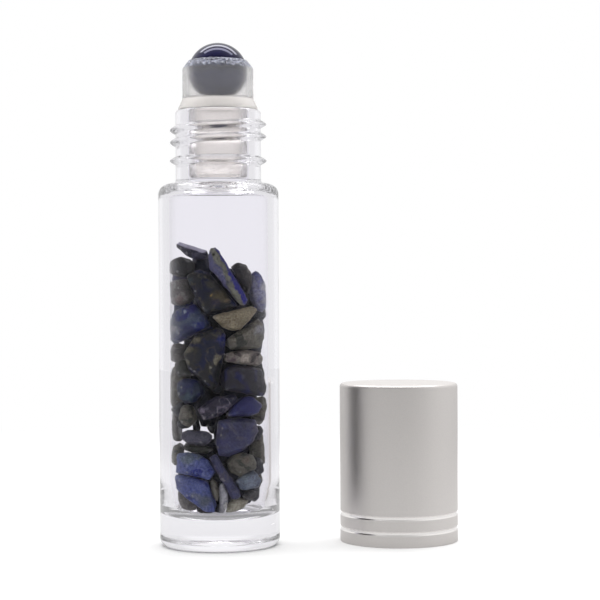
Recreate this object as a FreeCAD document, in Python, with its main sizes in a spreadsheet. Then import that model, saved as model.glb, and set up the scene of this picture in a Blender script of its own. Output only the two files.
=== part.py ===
import FreeCAD, Part
import math
import os
import Sketcher

# A glass roll-on bottle filled with tumbled stone chips. Millimetres, +Z up, the origin at the middle
# of the bottle's base. The roller fitment snaps into the neck and holds a stone ball. The metal cap is
# off and stands on the table beside the bottle.

doc = FreeCAD.newDocument("RollOnBottle")
sheet = doc.addObject("Spreadsheet::Sheet", "Size")

driving_sizes = {
    # glass bottle
    "bottle_diameter": 20.0,
    "bottle_wall": 1.75,
    "body_height": 60.1,
    "base_thickness": 4.9,
    "heel_radius": 1.4,
    "push_up_depth": 0.8,
    "push_up_radius": 6.4,
    "shoulder_radius": 1.8,
    "shoulder_thickness": 1.4,
    "cavity_floor_radius": 2.3,
    "bowl_taper": 0.75,
    "bowl_height": 5.5,
    "bowl_blend_radius": 8.0,
    "cavity_shoulder_radius": 1.1,
    "neck_diameter": 14.2,
    "neck_height": 12.2,
    "neck_root_radius": 0.7,
    "neck_bore_diameter": 10.2,
    "lip_radius": 0.5,
    "bead_rise": 3.8,
    "bead_height": 0.95,
    "bead_width": 1.25,
    "thread_rise": 6.63,
    "thread_height": 0.92,
    "thread_width": 1.25,
    "thread_pitch": 2.03,
    "thread_turns": 1.7,
    "thread_start_angle": 144.0,
    "ridge_root_depth": 0.15,
    # roller fitment
    "plug_length": 11.4,
    "plug_wall": 0.95,
    "plug_ring_clearance": 0.05,
    "plug_ring_height": 0.2,
    "plug_ring_width": 0.7,
    "plug_ring_low": 2.6,
    "plug_ring_high": 8.4,
    "plug_lead": 0.6,
    "flange_gap": 0.02,
    "flange_inset": 0.5,
    "flange_edge": 0.45,
    "flange_taper": 1.45,
    "socket_wall": 0.87,
    "socket_top_rise": 8.3,
    "socket_chamfer": 1.05,
    "socket_chamfer_height": 1.35,
    "pocket_overlap": 0.6,
    "throat_radius": 2.05,
    "throat_step": 0.8,
    # ball
    "ball_diameter": 9.9,
    "ball_rise": 6.3,
    "ball_clearance": 0.08,
    # cap
    "cap_wall": 0.45,
    "cap_edge_radius": 0.4,
    "cap_ring_low": 2.3,
    "cap_ring_high": 4.8,
    "cap_ring_width": 0.7,
    "cap_ring_depth": 0.2,
    "cap_seat_gap": 0.2,
    "cap_to_the_right": 30.1,
    "cap_to_the_back": 4.4,
    "liner_gap": 0.05,
    "liner_inset": 0.4,
    "liner_wall": 1.23,
    "liner_ceiling": 1.0,
    "ball_headroom": 1.85,
    "liner_thread_clearance": 0.2,
    "liner_thread_height": 0.6,
    "liner_thread_width": 0.7,
    "liner_thread_turns": 1.5,
    "seal_ring_radius": 2.7,
    "seal_ring_wall": 1.0,
    "seal_ring_gap": 0.1,
    # stones
    "stone_wall_gap": 0.15,
    "stone_headroom": 8.7,
    "stone_outer_bevel": 30.0,
    "stone_inner_bevel": 18.0,
}

for row, (alias, value) in enumerate(driving_sizes.items(), start=1):
    sheet.set(f"A{row}", alias)
    sheet.set(f"B{row}", str(value))
    sheet.setAlias(f"B{row}", alias)
doc.recompute()

# Sizes that follow from the driving ones, as expressions on the sheet.
bottle_radius = "(Size.bottle_diameter / 2)"
cavity_radius = "(Size.bottle_diameter / 2 - Size.bottle_wall)"
cavity_top = "(Size.body_height - Size.shoulder_thickness)"
bowl_top = "(Size.base_thickness + Size.bowl_height)"
bowl_radius = f"({cavity_radius} - Size.bowl_taper)"
neck_radius = "(Size.neck_diameter / 2)"
bore_radius = "(Size.neck_bore_diameter / 2)"
lip_top = "(Size.body_height + Size.neck_height)"
push_up_sphere = "((Size.push_up_radius ^ 2 + Size.push_up_depth ^ 2) / (2 * Size.push_up_depth))"
thread_start = "(Size.body_height + Size.thread_rise)"
shoulder_ledge = f"({bottle_radius} - {neck_radius})"
inner_ledge = f"({cavity_radius} - {bore_radius})"
neck_wall = f"({neck_radius} - {bore_radius})"

plug_bottom = "(Size.body_height + Size.neck_height - Size.plug_length)"
plug_ring_radius = "(Size.neck_bore_diameter / 2 - Size.plug_ring_clearance)"
plug_radius = f"({plug_ring_radius} - Size.plug_ring_height)"
plug_bore = f"({plug_radius} - Size.plug_wall)"
flange_radius = f"({neck_radius} - Size.flange_inset)"
flange_bottom = f"({lip_top} + Size.flange_gap)"
flange_top = f"({flange_bottom} + Size.flange_edge)"
socket_bottom = f"({flange_top} + Size.flange_taper)"
socket_top = f"({lip_top} + Size.socket_top_rise)"
ball_centre = f"({lip_top} + Size.ball_rise)"
ball_radius = "(Size.ball_diameter / 2)"
socket_sphere = f"({ball_radius} + Size.ball_clearance)"
socket_radius = f"({socket_sphere} + Size.socket_wall)"
throat_seat = f"({ball_centre} - sqrt({socket_sphere} ^ 2 - Size.throat_radius ^ 2))"
pocket_top = f"({ball_centre} + Size.pocket_overlap)"

# The cap is made round the neck and the ball that it covers.
liner_bore = f"({neck_radius} + Size.thread_height + Size.liner_thread_clearance)"
liner_radius = f"({liner_bore} + Size.liner_wall)"
shell_bore = f"({liner_radius} + Size.liner_gap)"
cap_radius = f"({shell_bore} + Size.cap_wall)"
ball_top_in_cap = f"({ball_centre} + {ball_radius} - Size.body_height - Size.cap_seat_gap)"
liner_underside = f"({ball_top_in_cap} + Size.ball_headroom)"
liner_top = f"({liner_underside} + Size.liner_ceiling)"
shell_ceiling = f"({liner_top} + Size.liner_gap)"
cap_height = f"({shell_ceiling} + Size.cap_wall)"
seal_ring_inside = "(Size.seal_ring_radius - Size.seal_ring_wall / 2)"
seal_ring_outside = "(Size.seal_ring_radius + Size.seal_ring_wall / 2)"
ball_top_at_seal = f"({ball_centre} + sqrt({ball_radius} ^ 2 - {seal_ring_inside} ^ 2))"
seal_ring_bottom = f"({ball_top_at_seal} + Size.seal_ring_gap - Size.body_height - Size.cap_seat_gap)"
liner_thread_start = "(Size.thread_rise - Size.thread_pitch / 2 - Size.cap_seat_gap)"

pile_radius = f"({cavity_radius} - Size.stone_wall_gap)"
pile_floor = "(Size.base_thickness + Size.stone_wall_gap)"
pile_bowl_radius = f"({bowl_radius} - Size.stone_wall_gap)"
pile_height = f"({cavity_top} - Size.base_thickness - Size.stone_headroom)"


def size(expression):
    return float(sheet.evalExpression(expression))


def new_body(label):
    body = doc.addObject("PartDesign::Body", label)
    body.Label = label
    return body


def origin_plane(body, role):
    return next(plane for plane in body.Origin.OriginFeatures if plane.Role == role)


def new_sketch(body, name):
    # Every sketch stands upright: its own x is the distance from the axis and its own y the height.
    sketch = body.newObject("Sketcher::SketchObject", name)
    sketch.AttachmentSupport = [(origin_plane(body, "XZ_Plane"), "")]
    sketch.MapMode = "FlatFace"
    return sketch


def hold_point(sketch, edge, end, across, up):
    # Ties one end of an edge to its two sizes. A size of 0 puts it on the axis or on the base line.
    for kind, axis, expression in (("DistanceX", -2, across), ("DistanceY", -1, up)):
        if expression == "0":
            sketch.addConstraint(Sketcher.Constraint("PointOnObject", edge, end, axis))
            continue
        held = sketch.addConstraint(Sketcher.Constraint(kind, -1, 1, edge, end, size(expression)))
        sketch.setExpression(f"Constraints[{held}]", expression)


def polygon(body, name, corners):
    sketch = new_sketch(body, name)
    points = [FreeCAD.Vector(size(across), size(up), 0) for across, up in corners]
    count = len(points)
    for k in range(count):
        sketch.addGeometry(Part.LineSegment(points[k], points[(k + 1) % count]), False)
    for k in range(count):
        sketch.addConstraint(Sketcher.Constraint("Coincident", k, 2, (k + 1) % count, 1))
    for k, (across, up) in enumerate(corners):
        hold_point(sketch, k, 1, across, up)
    return sketch


def ridge_profile(body, name, root, crest, middle, width):
    # A rounded ridge: a straight root and an arc from one end of it over the crest to the other.
    low = f"({middle} - {width} / 2)"
    high = f"({middle} + {width} / 2)"
    first, last = (low, high) if size(crest) > size(root) else (high, low)
    start = FreeCAD.Vector(size(root), size(first), 0)
    finish = FreeCAD.Vector(size(root), size(last), 0)
    peak = FreeCAD.Vector(size(crest), size(middle), 0)
    sketch = new_sketch(body, name)
    sketch.addGeometry(Part.Arc(start, peak, finish), False)
    sketch.addGeometry(Part.LineSegment(finish, start), False)
    sketch.addConstraint(Sketcher.Constraint("Coincident", 0, 2, 1, 1))
    sketch.addConstraint(Sketcher.Constraint("Coincident", 1, 2, 0, 1))
    hold_point(sketch, 1, 2, root, first)
    hold_point(sketch, 1, 1, root, last)
    rise = f"abs({crest} - {root})"
    arc_radius = f"(({width} / 2) ^ 2 + {rise} ^ 2) / (2 * {rise})"
    held = sketch.addConstraint(Sketcher.Constraint("Radius", 0, size(arc_radius)))
    sketch.setExpression(f"Constraints[{held}]", arc_radius)
    return sketch


def turned(body, name, sketch, kind="Revolution"):
    feature = body.newObject(f"PartDesign::{kind}", name)
    feature.Profile = sketch
    feature.ReferenceAxis = (sketch, ["V_Axis"])
    feature.Angle = 360
    return feature


def helix(body, name, sketch, turns):
    # A right-hand ridge that starts at the thread's start angle, measured from the right.
    about_axis = FreeCAD.Rotation(FreeCAD.Vector(0, 1, 0), size("Size.thread_start_angle"))
    sketch.AttachmentOffset = FreeCAD.Placement(FreeCAD.Vector(), about_axis)
    sketch.setExpression("AttachmentOffset.Rotation.Angle", "Size.thread_start_angle")
    feature = body.newObject("PartDesign::AdditiveHelix", name)
    feature.Profile = sketch
    feature.ReferenceAxis = (sketch, ["V_Axis"])
    feature.Mode = "pitch-turns-angle"
    feature.setExpression("Pitch", "Size.thread_pitch")
    feature.setExpression("Turns", turns)
    return feature


def round_rings(body, name, radius, rings):
    # Rounds the ring edges found at the given distances from the axis and heights.
    doc.recompute()
    base = body.Tip
    edges = []
    for across, up in rings:
        for number, edge in enumerate(base.Shape.Edges, start=1):
            if not isinstance(edge.Curve, Part.Circle):
                continue
            near_size = abs(edge.Curve.Radius - size(across)) < 1e-4
            near_height = abs(edge.Curve.Center.z - size(up)) < 1e-4
            if near_size and near_height:
                edges.append(f"Edge{number}")
    if len(edges) != len(rings):
        raise RuntimeError(f"{name}: {len(edges)} of {len(rings)} edges found")
    feature = body.newObject("PartDesign::Fillet", name)
    feature.Base = (base, edges)
    feature.setExpression("Radius", radius)
    return feature


def hollow_sphere(body, name, radius, height):
    feature = body.newObject("PartDesign::SubtractiveSphere", name)
    feature.setExpression("Radius", radius)
    feature.setExpression("Placement.Base.z", height)
    return feature


# Glass bottle: a thick-walled cylinder whose inside narrows to a bowl, with a push-up under the base,
# and a neck with a plain bead ring and a screw thread.
def make_glass_bottle():
    body = new_body("glass_bottle")
    outside = [
        ("0", "0"),
        (bottle_radius, "0"),
        (bottle_radius, "Size.body_height"),
        (neck_radius, "Size.body_height"),
        (neck_radius, lip_top),
        ("0", lip_top),
    ]
    turned(body, "OuterForm", polygon(body, "OuterOutline", outside))
    inside = [
        ("0", "Size.base_thickness"),
        (bowl_radius, "Size.base_thickness"),
        (cavity_radius, bowl_top),
        (cavity_radius, cavity_top),
        (bore_radius, cavity_top),
        (bore_radius, lip_top),
        ("0", lip_top),
    ]
    turned(body, "Cavity", polygon(body, "CavityOutline", inside), "Groove")
    round_rings(body, "Heel", "Size.heel_radius", [(bottle_radius, "0")])
    # Two roundings that share one ledge or wall are each kept within their part of it.
    shoulder = f"min(Size.shoulder_radius; 0.65 * {shoulder_ledge})"
    neck_root = f"min(Size.neck_root_radius; 0.3 * {shoulder_ledge})"
    lip = f"min(Size.lip_radius; 0.45 * {neck_wall})"
    inner_shoulder = f"min(Size.cavity_shoulder_radius; 0.7 * {inner_ledge})"
    bore_root = f"min(Size.neck_root_radius; 0.25 * {inner_ledge})"
    round_rings(body, "Shoulder", shoulder, [(bottle_radius, "Size.body_height")])
    round_rings(body, "NeckRoot", neck_root, [(neck_radius, "Size.body_height")])
    round_rings(body, "Lip", lip, [(neck_radius, lip_top), (bore_radius, lip_top)])
    round_rings(body, "Bowl", "Size.cavity_floor_radius", [(bowl_radius, "Size.base_thickness")])
    round_rings(body, "BowlBlend", "Size.bowl_blend_radius", [(cavity_radius, bowl_top)])
    round_rings(body, "InnerShoulder", inner_shoulder, [(cavity_radius, cavity_top)])
    round_rings(body, "BoreRoot", bore_root, [(bore_radius, cavity_top)])
    hollow_sphere(body, "PushUp", push_up_sphere, f"Size.push_up_depth - {push_up_sphere}")
    root = f"({neck_radius} - Size.ridge_root_depth)"
    bead_crest = f"({neck_radius} + Size.bead_height)"
    bead_middle = "(Size.body_height + Size.bead_rise)"
    bead = ridge_profile(body, "BeadOutline", root, bead_crest, bead_middle, "Size.bead_width")
    turned(body, "BeadRing", bead)
    thread_crest = f"({neck_radius} + Size.thread_height)"
    ridge = ridge_profile(body, "ThreadOutline", root, thread_crest, thread_start, "Size.thread_width")
    helix(body, "Thread", ridge, "Size.thread_turns")
    return body


# Roller fitment: a hollow plug with two sealing rings, a flange that sits on the lip, and a socket
# whose rim closes over the ball's middle and keeps it in.
def make_roller_housing():
    body = new_body("roller_housing")
    outline = [(plug_bore, plug_bottom), (f"({plug_radius} - Size.plug_lead / 2)", plug_bottom)]
    outline.append((plug_radius, f"({plug_bottom} + Size.plug_lead)"))
    for ring in ("Size.plug_ring_low", "Size.plug_ring_high"):
        middle = f"({plug_bottom} + {ring})"
        outline += [
            (plug_radius, f"({middle} - Size.plug_ring_width / 2)"),
            (plug_ring_radius, f"({middle} - Size.plug_ring_width / 4)"),
            (plug_ring_radius, f"({middle} + Size.plug_ring_width / 4)"),
            (plug_radius, f"({middle} + Size.plug_ring_width / 2)"),
        ]
    rim_radius = f"({socket_radius} - Size.socket_chamfer)"
    outline += [
        (plug_radius, flange_bottom),
        (flange_radius, flange_bottom),
        (flange_radius, flange_top),
        (socket_radius, socket_bottom),
        (socket_radius, f"({socket_top} - Size.socket_chamfer_height)"),
        (rim_radius, socket_top),
        ("Size.throat_radius", socket_top),
        ("Size.throat_radius", pocket_top),
        (socket_sphere, pocket_top),
        (socket_sphere, throat_seat),
        ("Size.throat_radius", throat_seat),
        ("Size.throat_radius", f"({throat_seat} - Size.throat_step)"),
        (plug_bore, f"({throat_seat} - 2 * Size.throat_step)"),
    ]
    turned(body, "Form", polygon(body, "Outline", outline))
    hollow_sphere(body, "Socket", socket_sphere, ball_centre)
    return body


def make_roller_ball():
    ball = doc.addObject("Part::Sphere", "roller_ball")
    ball.Label = "roller_ball"
    ball.setExpression("Radius", ball_radius)
    ball.setExpression("Placement.Base.z", ball_centre)
    return ball


def stand_beside_bottle(body):
    body.setExpression("Placement.Base.x", "Size.cap_to_the_right")
    body.setExpression("Placement.Base.y", "Size.cap_to_the_back")


# Cap shell: a drawn cup, mouth down, with two bright-cut rings near its rim.
def make_cap_shell():
    body = new_body("cap_shell")
    outline = [
        (shell_bore, "0"),
        (cap_radius, "0"),
        (cap_radius, cap_height),
        ("0", cap_height),
        ("0", shell_ceiling),
        (shell_bore, shell_ceiling),
    ]
    turned(body, "Form", polygon(body, "Outline", outline))
    round_rings(body, "TopEdge", "Size.cap_edge_radius", [(cap_radius, cap_height)])
    for name, height in (("LowRing", "Size.cap_ring_low"), ("HighRing", "Size.cap_ring_high")):
        floor = f"({cap_radius} - Size.cap_ring_depth)"
        beyond = f"({cap_radius} + Size.cap_ring_depth)"
        low = f"({height} - Size.cap_ring_width / 2)"
        high = f"({height} + Size.cap_ring_width / 2)"
        corners = [(floor, low), (beyond, low), (beyond, high), (floor, high)]
        turned(body, name, polygon(body, f"{name}Outline", corners), "Groove")
    stand_beside_bottle(body)
    return body


# Cap liner: a moulded cup inside the shell, with the screw ridge that grips the neck and a ring under
# its ceiling that bears on the ball when the cap is on.
def make_cap_liner():
    body = new_body("cap_liner")
    outline = [
        (liner_bore, "Size.liner_inset"),
        (liner_radius, "Size.liner_inset"),
        (liner_radius, liner_top),
        ("0", liner_top),
        ("0", liner_underside),
        (seal_ring_inside, liner_underside),
        (seal_ring_inside, seal_ring_bottom),
        (seal_ring_outside, seal_ring_bottom),
        (seal_ring_outside, liner_underside),
        (liner_bore, liner_underside),
    ]
    turned(body, "Form", polygon(body, "Outline", outline))
    root = f"({liner_bore} + Size.ridge_root_depth)"
    crest = f"({liner_bore} - Size.liner_thread_height)"
    width = "Size.liner_thread_width"
    ridge = ridge_profile(body, "ThreadOutline", root, crest, liner_thread_start, width)
    helix(body, "Thread", ridge, "Size.liner_thread_turns")
    stand_beside_bottle(body)
    return body


# Stones. Each is laid out by hand on the pile's own grid: across in hundredths of the pile's radius,
# up in forty-fifths of its height. A stone is an outline swelling to its middle plane and bevelled
# both ways. Its numbers are: inset of the middle plane from the glass, outward half thickness, inward
# half thickness (hundredths of the radius), lean in degrees, then the outline.
grid_across = 100
grid_up = 45

front_stones = [
    # bottom row
    (16, 11, 26, 4, [(-78, 7.2), (-52, 6.9), (-22, 6.3), (-7, 1.3), (-24, 1.3), (-56, 3.2), (-76, 4.9)]),
    (16, 11, 26, -5, [(-76, 10.6), (-58, 10.8), (-34, 10.4), (-19, 9.6), (-8, 8.1), (-16, 6.6),
                      (-52, 7.2),
                      (-78, 7.5)]),
    (13, 8, 11, 3, [(-15, 10.2), (-4, 10.7), (28, 6.3), (41, 4.6), (42, 3.7), (34, 3.2), (27, 3.4)]),
    (24, 7, 10, 0, [(-17, 6.1), (-9, 6.6), (-2, 5.8), (0, 3.7), (-1, 2.8), (-8, 3.4)]),
    (23, 6, 10, 4, [(4, 5.6), (8, 6.0), (12, 5.4), (18, 4.0), (17, 2.6), (9, 0.6), (3, 1.2)]),
    (34, 8, 16, -6, [(14, 0.7), (20, 2.3), (31, 3.1), (44, 3.1), (58, 2.8), (48, 1.5), (28, 0.7)]),
    (24, 6, 10, 5, [(46, 3.6), (60, 4.4), (71, 4.1), (69, 3.3), (60, 2.9), (52, 3.0)]),
    (16, 11, 24, -4, [(36, 6.3), (54, 7.4), (68, 7.8), (78, 6.2), (73, 5.0), (57, 4.7), (44, 4.7)]),
    (15, 12, 27, 5, [(20, 9.2), (30, 10.4), (46, 10.8), (63, 10.4), (71, 9.2), (69, 8.2),
                     (43, 7.0), (27, 7.7)]),
    (36, 7, 12, 6, [(-77, 4.6), (-58, 3.2), (-46, 2.5), (-46, 1.4), (-55, 0.7), (-68, 0.8), (-77, 2.3)]),
    (38, 6, 9, -3, [(-40, 2.0), (-28, 1.3), (-14, 1.0), (-13, 0.3), (-34, 0.1), (-42, 0.8)]),
    # second row
    (26, 5, 10, 0, [(-69, 11.6), (-58, 12.0), (-22, 11.9), (-10, 11.4), (-22, 10.8), (-55, 11.0)]),
    (14, 9, 18, 3, [(-67, 14.1), (-57, 14.5), (-22, 14.4), (-13, 13.8), (-14, 12.9), (-24, 12.3),
                    (-57, 12.4),
                    (-68, 13.1)]),
    (15, 13, 32, -5, [(4, 16.1), (30, 16.5), (71, 16.2), (74, 14.2), (65, 12.5), (46, 11.3), (17, 10.3),
                      (3, 10.7), (-2, 12.6)]),
    (16, 9, 18, 7, [(-65, 18.5), (-56, 18.6), (-50, 17.6), (-47, 15.9), (-56, 15.0), (-67, 15.4),
                    (-73, 16.5)]),
    (15, 11, 22, 6, [(52, 20.0), (65, 19.8), (81, 18.6), (74, 17.0), (60, 16.8), (21, 17.0), (33, 18.6)]),
    (15, 11, 21, -7, [(-37, 17.9), (-20, 19.2), (-4, 20.0), (34, 20.3), (37, 19.4), (14, 17.4),
                      (-6, 16.7),
                      (-26, 16.4)]),
    (15, 12, 26, 4, [(-74, 22.4), (-62, 22.9), (-42, 22.8), (-34, 21.8), (-33, 20.2), (-46, 19.1),
                     (-64, 18.9),
                     (-73, 20.0)]),
    # third row
    (16, 13, 30, -6, [(17, 24.5), (34, 25.1), (52, 24.9), (79, 24.4), (85, 22.8), (87, 20.9), (82, 19.9),
                      (44, 20.7), (15, 21.2)]),
    (14, 9, 19, 6, [(17, 26.9), (30, 27.3), (64, 27.4), (76, 27.1), (82, 26.3), (81, 25.2), (72, 24.9),
                    (33, 25.5), (16, 25.9)]),
    (16, 14, 32, 5, [(-41, 30.0), (-12, 30.9), (10, 31.0), (16, 30.1), (15, 28.3), (0, 22.0), (-7, 21.1),
                     (-18, 21.5), (-55, 24.6), (-63, 27.0)]),
    (16, 12, 28, -5, [(21, 29.4), (79, 32.5), (83, 31.7), (83, 29.3), (76, 27.9), (50, 27.7),
                      (23, 27.8)]),
    (13, 10, 22, 7, [(-8, 33.0), (12, 33.6), (64, 34.6), (74, 34.2), (59, 32.2), (44, 31.0), (30, 30.7),
                     (13, 31.3)]),
    (16, 13, 30, -4, [(-64, 34.5), (-46, 35.0), (-38, 34.2), (-21, 32.0), (-24, 31.1), (-44, 30.3),
                      (-79, 28.6), (-88, 29.5), (-89, 32.4), (-79, 34.0)]),
    (16, 9, 18, 5, [(-76, 25.6), (-67, 26.0), (-61, 24.9), (-46, 23.5), (-60, 23.3), (-75, 23.2)]),
    # top row
    (17, 13, 32, 6, [(-53, 39.9), (-31, 40.6), (-14, 40.0), (14, 37.2), (37, 34.8), (22, 34.1),
                     (-12, 33.6),
                     (-24, 33.5), (-32, 34.4), (-53, 38.6)]),
    (11, 7, 11, -4, [(-15, 42.8), (-10, 44.0), (-2, 44.2), (5, 43.5), (57, 35.8), (53, 34.9), (44, 34.9),
                     (-11, 40.8)]),
    (22, 9, 22, -12, [(-79, 44.4), (-75, 45.2), (-20, 43.7), (-17, 42.6), (-38, 42.3), (-58, 43.0)]),
    (16, 11, 24, 5, [(-89, 41.2), (-81, 42.4), (-70, 42.8), (-60, 41.9), (-59, 39.7), (-76, 39.5),
                     (-88, 40.0)]),
    (15, 10, 21, -5, [(-86, 38.8), (-68, 39.2), (-58, 38.9), (-54, 37.2), (-56, 35.7),
                      (-68, 34.9), (-80, 34.9),
                      (-87, 36.9)]),
    (20, 11, 20, 6, [(29, 41.0), (38, 41.7), (53, 41.4), (62, 40.3), (64, 38.2), (61, 36.6), (57, 37.0)]),
    (14, 8, 14, -3, [(74, 40.4), (79, 39.9), (84, 38.6), (85, 35.2), (82, 33.6), (77, 34.4), (69, 36.4),
                     (69, 38.6)]),
]

# Stones at the sides, the back and the middle face their own way round, in degrees from the front,
# given before the same numbers. Their outlines run across the way that they face.
left_stones = [
    (-90, 13, 9, 20, 5, [(-38, 26.2), (-20, 28.3), (14, 28.6), (34, 27.4), (30, 25.5), (-12, 25.3)]),
    (-90, 12, 13, 24, -6, [(-33, 22.0), (-22, 24.6), (8, 25.0), (34, 22.6), (36, 19.4),
                           (16, 17.9), (-20, 18.3)]),
    (-90, 13, 7, 4, 4, [(-32, 14.8), (-20, 17.0), (12, 17.5), (30, 15.8), (26, 12.5), (-6, 12.2),
                        (-26, 12.5)]),
    (-90, 13, 7, 8, -5, [(-34, 10.4), (-14, 11.8), (20, 11.7), (36, 10.1), (24, 8.5), (-18, 8.3)]),
    (-112, 11, 11, 26, 6, [(-32, 33.6), (-18, 36.1), (16, 35.8), (32, 33.0), (24, 29.6),
                           (-14, 29.3), (-30, 31.0)]),
    (-108, 11, 11, 26, -8, [(-32, 39.6), (-12, 42.2), (18, 41.6), (32, 39.0), (20, 36.7), (-22, 36.8)]),
]
right_stones = [
    (90, 17, 6, 20, -4, [(-34, 11.2), (-12, 13.6), (16, 13.4), (34, 11.0), (26, 8.8), (-10, 8.3)]),
    (90, 14, 6, 18, 5, [(-36, 18.2), (-14, 19.6), (20, 19.4), (36, 17.6), (18, 14.8), (-16, 15.8)]),
    (112, 15, 4, 26, -6, [(-33, 23.4), (-16, 26.4), (18, 26.6), (32, 24.0), (26, 20.3), (-18, 20.1)]),
    (112, 15, 4, 26, 7, [(-33, 30.8), (-10, 33.6), (22, 32.8), (33, 29.6), (14, 27.1), (-26, 27.4)]),
    (108, 15, 5, 26, -5, [(-32, 37.2), (-6, 40.4), (22, 39.4), (32, 36.2), (12, 33.9), (-24, 34.3)]),
    (104, 22, 3, 20, 6, [(-33, 5.8), (-10, 7.8), (22, 7.4), (33, 5.2), (20, 3.2), (-20, 3.4)]),
]
back_stones = [
    (155, 24, 10, 24, 5, [(-31, 5.4), (-12, 7.4), (24, 7.0), (31, 4.6), (14, 1.9), (-20, 2.3)]),
    (206, 24, 10, 24, -6, [(-31, 5.0), (-16, 7.6), (20, 7.6), (31, 5.0), (18, 2.2), (-18, 1.8)]),
    (155, 16, 12, 31, -4, [(-32, 11.8), (-18, 14.8), (18, 15.2), (32, 12.2), (22, 8.2), (-18, 7.9)]),
    (206, 16, 11, 30, 6, [(-32, 10.4), (-12, 12.1), (24, 11.9), (32, 9.8), (16, 8.1), (-22, 8.2)]),
    (155, 16, 12, 31, 6, [(-32, 18.8), (-8, 21.6), (22, 20.9), (32, 18.0), (12, 15.7), (-22, 15.5)]),
    (206, 16, 12, 31, -5, [(-32, 19.4), (-18, 22.4), (18, 22.0), (32, 18.6), (20, 15.3), (-20, 15.8)]),
    (155, 16, 12, 31, -7, [(-32, 25.4), (-14, 28.8), (18, 28.4), (32, 25.0), (16, 21.7), (-20, 22.2)]),
    (206, 16, 12, 31, 5, [(-31, 30.4), (-10, 33.3), (22, 32.9), (32, 29.8), (18, 27.3), (-22, 27.4)]),
    (155, 16, 12, 31, 4, [(-32, 32.6), (-18, 36.0), (18, 35.6), (31, 32.2), (20, 29.1), (-16, 29.3)]),
    (206, 16, 12, 31, -8, [(-31, 37.0), (-12, 40.3), (20, 39.7), (32, 36.6), (14, 33.8), (-22, 34.0)]),
]
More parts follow.
